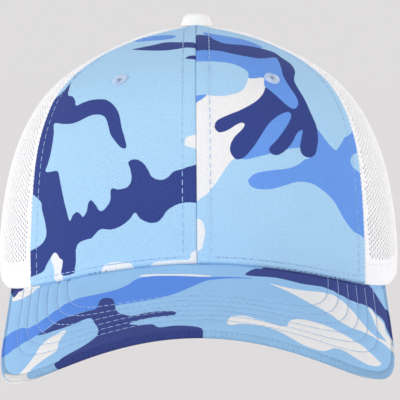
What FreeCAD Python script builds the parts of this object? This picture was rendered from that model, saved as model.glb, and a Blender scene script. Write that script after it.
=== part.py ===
import FreeCAD, Part
import Sketcher
import os
import math
from FreeCAD import Vector, Placement, Rotation

# Six-panel trucker cap: two printed cloth front panels on stiff buckram, four
# mesh panels, a curved stitched visor, sweatband, covered top button and a
# two-piece plastic snap strap across the rear arch.
# Front (visor) is -Y, wearer's left-hand side of the front view is -X, up is +Z.
# The origin is the middle of the head opening, at hem level.

os.makedirs("parts", exist_ok=True)
doc = FreeCAD.newDocument("TruckerCap")

# ------------------------------------------------------------------ the sheet
sheet = doc.addObject("Spreadsheet::Sheet", "Sizes")
SIZES = [
    ("half_width", 89.0), ("front_reach", 99.0), ("rear_reach", 101.0), ("plan_power", 2.15),
    ("crown_top", 111.4), ("hem_front", 10.9), ("hem_fade_start", 68.0), ("hem_fade_end", 88.0),
    ("seam_front_base", 52.8), ("seam_front_bulge", 14.7), ("seam_bulge_param", 0.69), ("seam_bulge_width", 0.3), ("seam_front_draw", 44.0),
    ("seam_draw_param", 0.68),
    ("seam_back_base", 117.0), ("seam_back_quad", 18.0), ("seam_gap", 0.3), ("apex_param", 0.98),
    ("cloth_thick", 0.6), ("buckram_thick", 0.8), ("mesh_thick", 0.9), ("layer_gap", 0.1),
    ("tape_thick", 0.5), ("tape_width", 12.0),
    ("visor_length", 69.3), ("visor_half_width", 82.8), ("visor_wide_line", -73.0), ("visor_power", 4.6),
    ("visor_slope", 17.96), ("visor_arch_radius", 120.8), ("visor_cloth", 0.7), ("visor_board_thick", 1.6),
    ("visor_tuck", 2.0), ("visor_edge_cloth", 0.9),
    ("band_height", 32.0), ("band_thick", 1.1), ("band_inset", 2.9), ("band_end", 141.0),
    ("pad_thick", 0.6), ("pad_inset", 2.2), ("pad_end", 56.0), ("pad_height", 27.0),
    ("hem_tape_height", 10.0),
    ("arch_half_width", 46.0), ("arch_straight", 20.0), ("arch_rise", 34.0), ("binding_width", 10.0), ("binding_thick", 0.6),
    ("button_radius", 6.9), ("button_height", 5.6), ("button_wall", 0.8), ("post_radius", 2.4), ("post_length", 6.0),
    ("washer_radius", 9.0), ("washer_thick", 0.8),
    ("eyelet_radius", 3.7), ("eyelet_hole", 0.9), ("eyelet_barrel", 1.6), ("eyelet_height", 0.7),
    ("eyelet_angle", 29.2), ("eyelet_param", 0.559),
    ("strap_centre_y", 13.0), ("strap_radius", 85.0), ("strap_thick", 1.0), ("strap_low", 1.5), ("strap_width", 18.0),
    ("strap_hinge_x", 44.0), ("strap_tip_angle", 23.0), ("tab_end_x", 54.2), ("hinge_gap", 0.6),
    ("peg_count", 7.0), ("peg_pitch", 6.0), ("peg_base", 2.2), ("peg_top", 1.5), ("peg_height", 1.5), ("hole_radius", 2.45),
    ("label_width", 26.0), ("label_height", 14.0), ("label_thick", 0.4),
]
for i, (name, value) in enumerate(SIZES):
    sheet.set("A%d" % (i + 1), name)
    sheet.set("B%d" % (i + 1), str(value))
    sheet.setAlias("B%d" % (i + 1), name)
doc.recompute()


def val(name):
    return float(sheet.get(name))


# --------------------------------------------------------- the crown's surface
def spline(vals, s0=None, s1=None):
    """Cubic through evenly spaced values on 0..1, with optional end slopes."""
    n = len(vals) - 1
    h = 1.0 / n
    a = [0.0] * (n + 1); b = [0.0] * (n + 1); c = [0.0] * (n + 1); d = [0.0] * (n + 1)
    for k in range(1, n):
        a[k], b[k], c[k] = h, 4 * h, h
        d[k] = 6 * ((vals[k + 1] - vals[k]) / h - (vals[k] - vals[k - 1]) / h)
    if s0 is None:
        b[0], c[0], d[0] = 1.0, 0.0, 0.0
    else:
        b[0], c[0], d[0] = 2 * h, h, 6 * ((vals[1] - vals[0]) / h - s0)
    if s1 is None:
        a[n], b[n], d[n] = 0.0, 1.0, 0.0
    else:
        a[n], b[n], d[n] = h, 2 * h, 6 * (s1 - (vals[n] - vals[n - 1]) / h)
    for k in range(1, n + 1):
        w = a[k] / b[k - 1]
        b[k] -= w * c[k - 1]
        d[k] -= w * d[k - 1]
    m = [0.0] * (n + 1)
    m[n] = d[n] / b[n]
    for k in range(n - 1, -1, -1):
        m[k] = (d[k] - c[k] * m[k + 1]) / b[k]

    def f(u):
        k = min(n - 1, max(0, int(u * n)))
        p = u * n - k
        q = 1 - p
        return q * vals[k] + p * vals[k + 1] + h * h / 6 * ((q ** 3 - q) * m[k] + (p ** 3 - p) * m[k + 1])
    return f


# reach (share of the plan radius) and rise (share of the height) at nine even steps
REACH = {"side": [1.0, 1.004, .984, .925, .806, .637, .419, .233, 0.0],
         "front": [1.0, .985, .955, .895, .78, .62, .43, .22, 0.0],
         "back": [1.0, 1.0, .97, .90, .77, .61, .42, .215, 0.0]}
RISE = {"side": [0.0, .11, .28, .49, .685, .82, .918, .975, 1.0],
        "front": [0.0, .15, .32, .53, .72, .85, .935, .982, 1.0],
        "back": [0.0, .11, .28, .48, .68, .82, .918, .975, 1.0]}
reach = {k: spline(v) for k, v in REACH.items()}
rise = {k: spline(v, None, 0.0) for k, v in RISE.items()}

A, BF, BB, POW = val("half_width"), val("front_reach"), val("rear_reach"), val("plan_power")
TOP, ZF = val("crown_top"), val("hem_front")
SLOPE, RAD = math.tan(math.radians(val("visor_slope"))), val("visor_arch_radius")


def plan(th, inset=0.0):
    """Point of the crown's outline seen from above; th = 0 at the front, 90 degrees at +X."""
    sn, cs = math.sin(th), math.cos(th)
    e = 2.0 / POW
    back = (BF if cs > 0 else BB) - inset
    return (math.copysign((A - inset) * abs(sn) ** e, sn), -math.copysign(back * abs(cs) ** e, cs))


def visor_z(x, y):
    x = min(abs(x), RAD * 0.98)
    return ZF - SLOPE * (-y - BF) - (RAD - math.sqrt(RAD * RAD - x * x))


def hem_z(th):
    x, y = plan(th)
    k = (abs(math.degrees(th)) - val("hem_fade_start")) / (val("hem_fade_end") - val("hem_fade_start"))
    k = min(1.0, max(0.0, k))
    k = k * k * (3 - 2 * k)
    return visor_z(x, y) * (1 - k) if k < 1 else 0.0


def crown_raw(th, u):
    x, y = plan(th)
    ws = math.sin(th) ** 2
    wc = math.cos(th) ** 2
    key = "front" if math.cos(th) > 0 else "back"
    r = ws * reach["side"](u) + wc * reach[key](u)
    f = ws * rise["side"](u) + wc * rise[key](u)
    z0 = hem_z(th)
    return Vector(x * r, y * r, z0 + (TOP - z0) * f)


def crown(th, u, depth=0.0):
    """Crown point at azimuth th (radians) and 0..1 up the panel, sunk inward by depth."""
    p = crown_raw(th, u)
    if depth == 0.0:
        return p
    e = 1e-3
    u0, u1 = max(0.0, u - e), min(0.995, u + e)
    dt = crown_raw(th + e, u) - crown_raw(th - e, u)
    du = crown_raw(th, u1) - crown_raw(th, u0)
    nrm = dt.cross(du)
    nrm.normalize()
    if nrm.dot(Vector(p.x, p.y, 30.0)) < 0:
        nrm = nrm * -1
    return p - nrm * depth


def seam_front(u):
    """The seam swings outward half-way up and is drawn in again towards the button."""
    bulge = val("seam_front_bulge") * math.exp(-((u - val("seam_bulge_param")) / val("seam_bulge_width")) ** 2)
    k = min(1.0, max(0.0, (u - val("seam_draw_param")) / (1.0 - val("seam_draw_param"))))
    drawn = val("seam_front_draw") * k * k * (3.0 - 2.0 * k)
    return math.radians(val("seam_front_base") + bulge - drawn)


def seam_back(u):
    return math.radians(val("seam_back_base") + val("seam_back_quad") * u * u)


def radius_at(th, u):
    p = crown_raw(th, u)
    return max(0.5, math.hypot(p.x, p.y))


def solid_of(outer, inner):
    """Closed solid between two point grids of the same size."""
    so, si = Part.BSplineSurface(), Part.BSplineSurface()
    so.interpolate(outer)
    si.interpolate(inner)
    fo, fi = so.toShape(), si.toShape()
    b = so.bounds()
    c = si.bounds()
    pairs = [(so.uIso(b[0]), si.uIso(c[0])), (so.uIso(b[1]), si.uIso(c[1])),
             (so.vIso(b[2]), si.vIso(c[2])), (so.vIso(b[3]), si.vIso(c[3]))]
    faces = [fo, fi] + [Part.makeRuledSurface(p.toShape(), q.toShape()) for p, q in pairs]
    shell = Part.makeShell(faces)
    shell.sewShape()
    solid = Part.Solid(Part.Shell(shell.Faces) if not shell.isClosed() else shell)
    if solid.Volume < 0:
        solid.reverse()
    fixed = solid.copy()
    fixed.fix(1e-4, 1e-4, 1e-3)
    return fixed if fixed.isValid() and fixed.Volume > 0 else solid


def patch(left, right, low, high, d0, d1, na=13, nu=21):
    """Skin from azimuth left(u) to right(u), height low(th) to high, between depths d0 and d1."""
    outer, inner = [], []
    for i in range(na + 1):
        ro, ri = [], []
        for j in range(nu + 1):
            s = j / nu
            # two passes, since the azimuth depends on the height and the lower edge on the azimuth
            u = s * high
            for _ in range(6):
                th = left(u) + (right(u) - left(u)) * i / na
                lo = low(th)
                u = lo + (high - lo) * s
            ro.append(crown(th, u, d0))
            ri.append(crown(th, u, d1))
        outer.append(ro)
        inner.append(ri)
    return solid_of(outer, inner)


def u_at_z(th, z, depth=0.0):
    lo, hi = -0.06, 0.9
    for _ in range(40):
        mid = (lo + hi) / 2
        if crown(th, mid, depth).z < z:
            lo = mid
        else:
            hi = mid
    return (lo + hi) / 2


def table(fn, n=60, lo=-math.pi, hi=math.pi):
    ys = [fn(lo + (hi - lo) * k / n) for k in range(n + 1)]

    def f(th):
        p = (th - lo) / (hi - lo) * n
        k = min(n - 1, max(0, int(p)))
        return ys[k] + (ys[k + 1] - ys[k]) * (p - k)
    return f


# ------------------------------------------------------------------- the visor
VL, VW, VY, VP = val("visor_length"), val("visor_half_width"), val("visor_wide_line"), val("visor_power")
tuck = val("visor_tuck")


def visor_prism(inset, tuck_in):
    """Upright prism over the visor's outline, shrunk by inset at its free edge."""
    w, dep = VW - inset, BF + VL + VY - inset
    n = 48
    pts = []
    for k in range(n + 1):
        t = math.pi * k / n
        c, s = math.cos(t), math.sin(t)
        pts.append(Vector(math.copysign(w * abs(c) ** (2 / VP), c), VY - dep * abs(s) ** (2 / VP), -80))
    # crown outline drawn in by the tuck, as far as the visor's sides
    th1 = 0.0
    lo, hi = 0.3, 1.55
    for _ in range(50):
        th1 = (lo + hi) / 2
        if plan(th1, tuck_in)[0] < w:
            lo = th1
        else:
            hi = th1
    root = [Vector(*plan(th1 - 2 * th1 * k / 40, tuck_in), -80) for k in range(41)]
    front = Part.BSplineCurve()
    front.interpolate(pts)
    back = Part.BSplineCurve()
    back.interpolate(root)
    e = [front.toShape(), Part.makeLine(pts[-1], root[-1]), back.toShape(), Part.makeLine(root[0], pts[0])]
    return Part.Face(Part.Wire(e)).extrude(Vector(0, 0, 160))


def visor_layer(t0, t1):
    """Arched slab between depths t0 and t1 under the visor's top surface."""
    y0 = -20.0
    zc = ZF + SLOPE * (y0 + BF) - RAD
    sp = math.radians(62)

    def arc(r, z):
        pts = [Vector(r * math.sin(-sp + sp * k), y0, z + r * math.cos(-sp + sp * k)) for k in range(3)]
        return Part.Arc(*pts).toShape(), pts
    a, pa = arc(RAD - t0, zc)
    b, pb = arc(RAD - t1, zc)
    f = Part.Face(Part.Wire([a, Part.makeLine(pa[2], pb[2]), b, Part.makeLine(pb[0], pa[0])]))
    run = BF + VL + 30 + y0
    return f.extrude(Vector(0, -run, -SLOPE * run))


exported = []


def computed(name, shape):
    ob = doc.addObject("Part::Feature", name)
    ob.Shape = shape
    exported.append((name, ob))
    return ob


gap = val("seam_gap") / 2
UT = val("apex_param")
zero = lambda th: 0.0


def edge(fn, side):
    return lambda u: fn(u) + side * gap / radius_at(fn(u), u)


centre = edge(lambda u: 0.0, 1)
front_r = edge(seam_front, -1)
side_a = edge(seam_front, 1)
side_b = edge(seam_back, -1)
back_a = edge(seam_back, 1)
back_b = edge(lambda u: math.pi, -1)


# the visor's root lies under the crown's hem, so every layer above it is trimmed clear of it
keep_out = visor_layer(-0.12, 6.0).common(visor_prism(-1.0, tuck + 1.0))


def mirrored(shape):
    return shape.mirror(Vector(0, 0, 0), Vector(1, 0, 0))


ct, bt, mt, lg, tt = val("cloth_thick"), val("buckram_thick"), val("mesh_thick"), val("layer_gap"), val("tape_thick")

# eyelet bore through cloth and buckram
eth, eu = math.radians(val("eyelet_angle")), val("eyelet_param")
ep, eq = crown(eth, eu), crown(eth, eu, 1.0)
enorm = (ep - eq).normalize()
bore = Part.makeCylinder(val("eyelet_barrel") + 0.1, 12, ep - enorm * 6, enorm)

front_cloth = patch(centre, front_r, zero, UT, 0.0, ct, 15, 24).cut(bore)
front_stiff = patch(centre, front_r, zero, UT, ct + lg, ct + lg + bt, 15, 24).cut(bore)
side_mesh = patch(side_a, side_b, zero, UT, 0.0, mt, 15, 24)

# the rear arch: straight sides, then half an ellipse
aw, ast, ar = val("arch_half_width"), val("arch_straight"), val("arch_rise")


def arch_prism(grow, y0=30.0, y1=130.0):
    w, r = aw + grow, ar + grow
    b = -20.0
    pts = [Vector(w * math.cos(a), y0, ast + r * math.sin(a)) for a in [math.pi * k / 24 for k in range(25)]]
    c = Part.BSplineCurve()
    c.interpolate(pts)
    e1 = c.toShape()
    e2 = Part.makeLine(pts[-1], Vector(-w, y0, b))
    e3 = Part.makeLine(Vector(-w, y0, b), Vector(w, y0, b))
    e4 = Part.makeLine(Vector(w, y0, b), pts[0])
    return Part.Face(Part.Wire([e1, e2, e3, e4])).extrude(Vector(0, y1 - y0, 0))


front_cloth, front_stiff, side_mesh = [s.cut(keep_out) for s in (front_cloth, front_stiff, side_mesh)]
back_mesh = patch(back_a, back_b, zero, UT, 0.0, mt, 15, 24).cut(arch_prism(0.0))

for side, mk in (("right", lambda s: s), ("left", mirrored)):
    computed("front_panel_" + side, mk(front_cloth))
    computed("front_buckram_" + side, mk(front_stiff))
    computed("side_mesh_" + side, mk(side_mesh))
    computed("back_mesh_" + side, mk(back_mesh))

# ------------------------------------------------------------------ seam tapes
tw = val("tape_width") / 2


def strip(fn, depth, low_u, high_u, half=tw):
    lf = lambda u: fn(u) - half / radius_at(fn(u), u)
    rt = lambda u: fn(u) + half / radius_at(fn(u), u)
    return patch(lf, rt, lambda th: low_u, high_u, depth, depth + tt, 4, 22)


high, high_s = 0.885, 0.86
low_f = u_at_z(0.0, ZF + val("band_height") + 1.0)
low_s = u_at_z(seam_front(0.2), hem_z(seam_front(0.2)) + 1.0)
low_b = u_at_z(seam_back(0.1), val("hem_tape_height") + 1.5)
low_c = u_at_z(math.pi, ast + ar + val("binding_width") + 1.5)
front_depth = ct + lg + bt + lg
rear_depth = mt + lg
computed("seam_tape_centre_front", strip(lambda u: 0.0, front_depth, low_f * 0.2, high))
fr = strip(seam_front, front_depth, low_s, high_s).cut(keep_out)
computed("seam_tape_front_right", fr)
computed("seam_tape_front_left", mirrored(fr))
br = strip(seam_back, rear_depth, low_b, high)
computed("seam_tape_back_right", br)
computed("seam_tape_back_left", mirrored(br))
computed("seam_tape_centre_back", strip(lambda u: math.pi, rear_depth, low_c, high))

# ------------------------------------------------------- hem tape, pad and band
tape_top = val("hem_tape_height")
start = math.degrees(seam_front(0.05)) + 5.0


def belt(a0, a1, z0, z1, d0, d1, na, nu=4):
    """Belt along the hem from azimuth a0 to a1 degrees, between two heights above the hem."""
    outer, inner = [], []
    for i in range(na + 1):
        th = math.radians(a0 + (a1 - a0) * i / na)
        ua, ub = u_at_z(th, hem_z(th) + (z0(th) if callable(z0) else z0)), u_at_z(th, hem_z(th) + z1)
        outer.append([crown(th, ua + (ub - ua) * j / nu, d0) for j in range(nu + 1)])
        inner.append([crown(th, ua + (ub - ua) * j / nu, d1) for j in range(nu + 1)])
    return solid_of(outer, inner)


ht = belt(start, val("band_end"), 0.4, tape_top, rear_depth, rear_depth + tt, 30).cut(keep_out)
computed("hem_tape_right", ht)
computed("hem_tape_left", mirrored(ht))
be = val("band_end")


def band_low(th):
    """The band hangs behind the visor's root at the front, down to the visor's underside."""
    k = min(1.0, max(0.0, (abs(math.degrees(th)) - 58.0) / 16.0))
    return 0.3 - 3.0 * (1 - k * k * (3 - 2 * k))


computed("sweatband", belt(-be, be, band_low, val("band_height"), val("band_inset"), val("band_inset") + val("band_thick"), 90, 6))
pe = val("pad_end")
computed("sweatband_front_pad", belt(-pe, pe, 1.0, val("pad_height"), val("pad_inset"), val("pad_inset") + val("pad_thick"), 40, 6))

# ---------------------------------------------------------- rear arch binding
bw, bth = val("binding_width"), val("binding_thick")
A0 = 128.0


def rear_shell(d0, d1):
    outer, inner = [], []
    for i in range(31):
        th = math.radians(A0 + (360 - 2 * A0) * i / 30)
        us = [0.012 + (0.62 - 0.012) * j / 16 for j in range(17)]
        outer.append([crown(th, u, d0) for u in us])
        inner.append([crown(th, u, d1) for u in us])
    return solid_of(outer, inner)


ring = arch_prism(bw).cut(arch_prism(-1.0))
full = rear_shell(-lg - bth, mt + lg + bth).common(ring)
groove = rear_shell(-lg, mt + lg).common(arch_prism(bw + 3.0).cut(arch_prism(-lg)))
computed("rear_arch_binding", full.cut(groove))

vc, vb = val("visor_cloth"), val("visor_board_thick")
t_top0, t_top1 = 0.1, 0.1 + vc
t_b0, t_b1 = t_top1 + lg, t_top1 + lg + vb
t_u0, t_u1 = t_b1 + lg, t_b1 + lg + vc
mid = (t_b0 + t_b1) / 2
ve = val("visor_edge_cloth")
outline = visor_prism(0.0, tuck)
board = visor_prism(ve + 2 * lg, tuck + 0.2)
computed("visor_top_cover", visor_layer(t_top0, mid - lg / 2).common(outline).cut(visor_layer(t_top1, mid + 2).common(visor_prism(ve, tuck + 3.0))))
computed("visor_under_cover", visor_layer(mid + lg / 2, t_u1).common(outline).cut(visor_layer(mid - 2, t_u0).common(visor_prism(ve, tuck + 3.0))))
computed("visor_board", visor_layer(t_b0, t_b1).common(board))


# ------------------------------------------------------------ sketches, bodies
def body(name):
    b = doc.addObject("PartDesign::Body", name)
    return b


def sketch_on(b, name, plane="XZ_Plane"):
    sk = b.newObject("Sketcher::SketchObject", name)
    pl = [f for f in b.Origin.OriginFeatures if f.Role == plane][0]
    sk.AttachmentSupport = (pl, [""])
    sk.MapMode = "FlatFace"
    return sk


def polygon(sk, pts, exprs=None):
    """Closed polygon whose corners are dimensioned from the sketch origin; exprs names each size."""
    n = len(pts)
    for k in range(n):
        p, q = pts[k], pts[(k + 1) % n]
        sk.addGeometry(Part.LineSegment(Vector(p[0], p[1], 0), Vector(q[0], q[1], 0)), False)
    for k in range(n):
        sk.addConstraint(Sketcher.Constraint("Coincident", k, 2, (k + 1) % n, 1))
    exprs = exprs or {}
    for k in range(n):
        for ax, word in ((0, "DistanceX"), (1, "DistanceY")):
            idx = sk.addConstraint(Sketcher.Constraint(word, -1, 1, k, 1, float(pts[k][ax])))
            if (k, ax) in exprs:
                sk.setExpression("Constraints[%d]" % idx, exprs[(k, ax)])


def turned(name, pts, exprs, place):
    """Body of revolution about its own Z axis."""
    b = body(name)
    sk = sketch_on(b, name + "_profile")
    polygon(sk, pts, exprs)
    rev = b.newObject("PartDesign::Revolution", name + "_turn")
    rev.Profile = sk
    rev.ReferenceAxis = (sk, ["V_Axis"])
    rev.Angle = 360.0
    b.Placement = place
    doc.recompute()
    return b


S = "Sizes."
rb, hb, wl = val("button_radius"), val("button_height"), val("button_wall")
seat = Placement(Vector(0, 0, TOP + 0.1), Rotation())
# cloth-covered cap: skirt flares a little, shoulders rounded by short facets
pts = [(rb - wl, 0), (rb, 0), (rb, 0.9), (rb - 0.5, 2.0), (rb - 1.0, hb - 1.6), (rb - 1.7, hb - 0.7), (rb - 2.9, hb - 0.2), (0, hb),
       (0, hb - wl), (rb - 3.3, hb - wl - 0.2), (rb - 2.0, hb - wl - 1.3), (rb - wl - 0.8, 2.0)]
ex = {(0, 0): S + "button_radius - " + S + "button_wall", (1, 0): S + "button_radius", (2, 0): S + "button_radius",
      (3, 0): S + "button_radius - 0.5", (4, 0): S + "button_radius - 1", (4, 1): S + "button_height - 1.6",
      (5, 0): S + "button_radius - 1.7", (5, 1): S + "button_height - 0.7", (6, 0): S + "button_radius - 2.9",
      (6, 1): S + "button_height - 0.2", (7, 1): S + "button_height", (8, 1): S + "button_height - " + S + "button_wall",
      (9, 0): S + "button_radius - 3.3", (9, 1): S + "button_height - " + S + "button_wall - 0.2",
      (10, 0): S + "button_radius - 2", (10, 1): S + "button_height - " + S + "button_wall - 1.3",
      (11, 0): S + "button_radius - " + S + "button_wall - 0.8"}
exported.append(("top_button_cover", turned("top_button_cover", pts, ex, seat)))
# post with a foot disc inside the cap, driven down through the apex
pr, pl_ = val("post_radius"), val("post_length")
pts = [(0, 1.0), (rb - wl - 1.4, 1.0), (rb - wl - 1.4, 0.1), (pr, 0.1), (pr, -pl_), (0, -pl_)]
ex = {(1, 0): S + "button_radius - " + S + "button_wall - 1.4", (2, 0): S + "button_radius - " + S + "button_wall - 1.4",
      (3, 0): S + "post_radius", (4, 0): S + "post_radius", (4, 1): "-" + S + "post_length", (5, 1): "-" + S + "post_length"}
exported.append(("top_button_post", turned("top_button_post", pts, ex, seat)))
# backing washer clinched on the post, under the apex
wr, wt = val("washer_radius"), val("washer_thick")
wz = TOP - 3.2
pts = [(pr + 0.1, 0), (wr, -0.6), (wr, -0.6 - wt), (pr + 0.1, -wt)]
ex = {(0, 0): S + "post_radius + 0.1", (1, 0): S + "washer_radius", (2, 0): S + "washer_radius", (2, 1): "-0.6 - " + S + "washer_thick",
      (3, 0): S + "post_radius + 0.1", (3, 1): "-" + S + "washer_thick"}
exported.append(("button_backing_washer", turned("button_backing_washer", pts, ex, Placement(Vector(0, 0, wz), Rotation()))))

# embroidered eyelets: raised ring with a barrel through the cloth
er, eh, ebr, ehl = val("eyelet_radius"), val("eyelet_height"), val("eyelet_barrel"), val("eyelet_hole")
pts = [(ehl, 0.45), (ehl, -1.7), (ebr, -1.7), (ebr, 0.12), (er, 0.12), (er - 0.25, eh * 0.8), (er - 1.0, eh), (ehl + 0.8, eh)]
ex = {(0, 0): S + "eyelet_hole", (1, 0): S + "eyelet_hole", (2, 0): S + "eyelet_barrel", (3, 0): S + "eyelet_barrel",
      (4, 0): S + "eyelet_radius", (5, 0): S + "eyelet_radius - 0.25", (5, 1): S + "eyelet_height * 0.8",
      (6, 0): S + "eyelet_radius - 1", (6, 1): S + "eyelet_height", (7, 0): S + "eyelet_hole + 0.8", (7, 1): S + "eyelet_height"}
for side, sg in (("right", 1), ("left", -1)):
    n = Vector(sg * enorm.x, enorm.y, enorm.z)
    p = Vector(sg * ep.x, ep.y, ep.z)
    exported.append(("eyelet_" + side, turned("eyelet_" + side, pts, ex, Placement(p, Rotation(Vector(0, 0, 1), n)))))

# ------------------------------------------------------------- the snap strap
cy, sr, st = val("strap_centre_y"), val("strap_radius"), val("strap_thick")
sl, sw = val("strap_low"), val("strap_width")
hx, hg = val("strap_hinge_x"), val("hinge_gap")


def band_arc(name, r_expr, r, a0, a1):
    """Curved band about the strap's own centre line, from azimuth a0 to a1 (degrees from +Y towards +X)."""
    b = body(name)
    sk = sketch_on(b, name + "_section")
    polygon(sk, [(r, sl), (r + st, sl), (r + st, sl + sw), (r, sl + sw)],
            {(0, 0): r_expr, (3, 0): r_expr, (1, 0): r_expr + " + " + S + "strap_thick", (2, 0): r_expr + " + " + S + "strap_thick",
             (0, 1): S + "strap_low", (1, 1): S + "strap_low", (2, 1): S + "strap_low + " + S + "strap_width",
             (3, 1): S + "strap_low + " + S + "strap_width"})
    rev = b.newObject("PartDesign::Revolution", name + "_sweep")
    rev.Profile = sk
    rev.ReferenceAxis = (sk, ["V_Axis"])
    rev.Angle = a1 - a0
    b.Placement = Placement(Vector(0, cy, 0), Rotation(Vector(0, 0, 1), 90 - a1))
    doc.recompute()
    # the sweep runs one way or the other about Z: turn the body so it covers a0..a1
    c = b.Shape.CenterOfMass
    want = math.radians((a0 + a1) / 2)
    if (c - Vector(0, cy, 0)).dot(Vector(math.sin(want), math.cos(want), 0)) < 0.9 * (c - Vector(0, cy, c.z)).Length:
        b.Placement = Placement(Vector(0, cy, 0), Rotation(Vector(0, 0, 1), 90 - a0))
        doc.recompute()
    return b


r_out, r_in = sr, sr - st - 0.1
ex_out, ex_in = S + "strap_radius", S + "strap_radius - " + S + "strap_thick - 0.1"
ang = lambda x, r: math.degrees(math.asin(x / r))
a_hinge_o = -ang(hx, r_out + st / 2)
a_hinge_i = ang(hx, r_in + st / 2)
gap_deg = math.degrees(hg / sr)
tip = val("strap_tip_angle")
outer_band = band_arc("outer_strap_band", ex_out, r_out, a_hinge_o, tip)
inner_band = band_arc("inner_strap_band", ex_in, r_in, -tip, a_hinge_i)
tab_l = band_arc("strap_tab_left", ex_out, r_out, -ang(val("tab_end_x"), r_out), a_hinge_o - gap_deg)
tab_r = band_arc("strap_tab_right", ex_in, r_in, a_hinge_i + gap_deg, ang(val("tab_end_x"), r_in))
exported.append(("strap_tab_left", tab_l))
exported.append(("strap_tab_right", tab_r))

count, pitch = int(val("peg_count")), val("peg_pitch")
zmid = sl + sw / 2
drills, pegs = [], []
for k in range(count):
    a = math.radians((k - (count - 1) / 2) * pitch)
    d = Vector(math.sin(a), math.cos(a), 0)
    turn = Rotation(Vector(0, 0, 1), d)
    h = doc.addObject("Part::Cylinder", "hole_%d" % k)
    h.setExpression("Radius", S + "hole_radius")
    h.setExpression("Height", S + "strap_thick + 2")
    h.Placement = Placement(Vector(0, cy, zmid) + d * (r_out - 1.0), turn)
    drills.append(h)
    q = doc.addObject("Part::Cone", "peg_%d" % k)
    q.setExpression("Radius1", S + "peg_base")
    q.setExpression("Radius2", S + "peg_top")
    q.setExpression("Height", S + "peg_height + 0.2")
    q.Placement = Placement(Vector(0, cy, zmid) + d * (r_in + st - 0.2), turn)
    pegs.append(q)
drill = doc.addObject("Part::MultiFuse", "strap_drills")
drill.Shapes = drills
holes = doc.addObject("Part::Cut", "snap_strap_holes")
holes.Base = outer_band
holes.Tool = drill
male = doc.addObject("Part::MultiFuse", "snap_strap_pegs")
male.Shapes = [inner_band] + pegs
doc.recompute()
exported.append(("snap_strap_holes", holes))
exported.append(("snap_strap_pegs", male))

# ------------------------------------------------------------- blank size label
lb = doc.addObject("Part::Box", "blank_size_label")
lb.setExpression("Length", S + "label_width")
lb.setExpression("Width", S + "label_thick")
lb.setExpression("Height", S + "label_height")
lth = math.radians(90.0)
lp = crown(lth, u_at_z(lth, 12.0), val("band_inset") + val("band_thick") + 0.45)
lb.Placement = Placement(Vector(lp.x - 1.4, -val("label_width") / 2, 12.0), Rotation(Vector(0, 0, 1), 90))
exported.append(("blank_size_label", lb))

doc.recompute()
for ob in doc.Objects:
    if "Invalid" in ob.State or "Error" in ob.State:
        raise RuntimeError("bad object " + ob.Name)
for name, ob in exported:
    sh = ob.Shape
    if sh.ShapeType == "Compound" and len(sh.Solids) == 1:
        sh = sh.Solids[0]
    if sh.isNull() or not sh.isValid() or len(sh.Solids) != 1:
        raise RuntimeError("bad shape %s: valid %s, %d solids" % (name, sh.isValid(), len(sh.Solids)))
    sh.exportStep("parts/%s.step" % name)
    bb = sh.BoundBox
    print("%-24s vol %9.1f  x %.1f..%.1f  y %.1f..%.1f  z %.1f..%.1f" % (name, sh.Volume, bb.XMin, bb.XMax, bb.YMin, bb.YMax, bb.ZMin, bb.ZMax))
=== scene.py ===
"""Trucker mesh cap: printed cloth front, white mesh sides and back, curved stitched visor.
Shapes are worked out in millimetres from the same sizes as the CAD model and scaled to metres."""

import bpy
import json
import math
import numpy as np
from mathutils import Vector, Matrix, Quaternion


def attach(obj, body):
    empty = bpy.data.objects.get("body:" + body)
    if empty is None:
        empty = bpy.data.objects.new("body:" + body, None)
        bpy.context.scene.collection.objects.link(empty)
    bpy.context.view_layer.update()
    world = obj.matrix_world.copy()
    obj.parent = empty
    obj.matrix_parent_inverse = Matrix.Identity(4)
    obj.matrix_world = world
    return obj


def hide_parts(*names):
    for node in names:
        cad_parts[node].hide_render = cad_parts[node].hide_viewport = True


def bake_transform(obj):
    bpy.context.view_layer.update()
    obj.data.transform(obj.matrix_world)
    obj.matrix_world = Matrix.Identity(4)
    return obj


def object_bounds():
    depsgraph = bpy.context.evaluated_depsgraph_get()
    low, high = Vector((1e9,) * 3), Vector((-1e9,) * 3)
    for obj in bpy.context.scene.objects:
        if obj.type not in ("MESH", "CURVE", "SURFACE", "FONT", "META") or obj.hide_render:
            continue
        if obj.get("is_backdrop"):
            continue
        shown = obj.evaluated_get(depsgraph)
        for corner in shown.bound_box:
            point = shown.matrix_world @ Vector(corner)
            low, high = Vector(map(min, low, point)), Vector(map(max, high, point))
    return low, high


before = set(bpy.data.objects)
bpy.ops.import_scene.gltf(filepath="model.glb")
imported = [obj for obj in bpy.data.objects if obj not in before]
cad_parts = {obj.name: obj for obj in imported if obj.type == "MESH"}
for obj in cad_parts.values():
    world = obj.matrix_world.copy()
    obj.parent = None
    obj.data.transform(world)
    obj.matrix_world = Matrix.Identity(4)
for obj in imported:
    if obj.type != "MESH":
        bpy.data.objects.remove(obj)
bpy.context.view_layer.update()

MM = 0.001
rad, deg = np.radians, np.degrees

# ------------------------------------------------------------------ crown shape
A, BF, BB, POW = 89.0, 99.0, 101.0, 2.15
TOP, ZF = 111.4, 10.9
SLOPE = math.tan(math.radians(17.96))
RAD = 120.8
VL, VW, VY, VP = 69.3, 82.8, -73.0, 4.6
UT = 0.98


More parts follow.
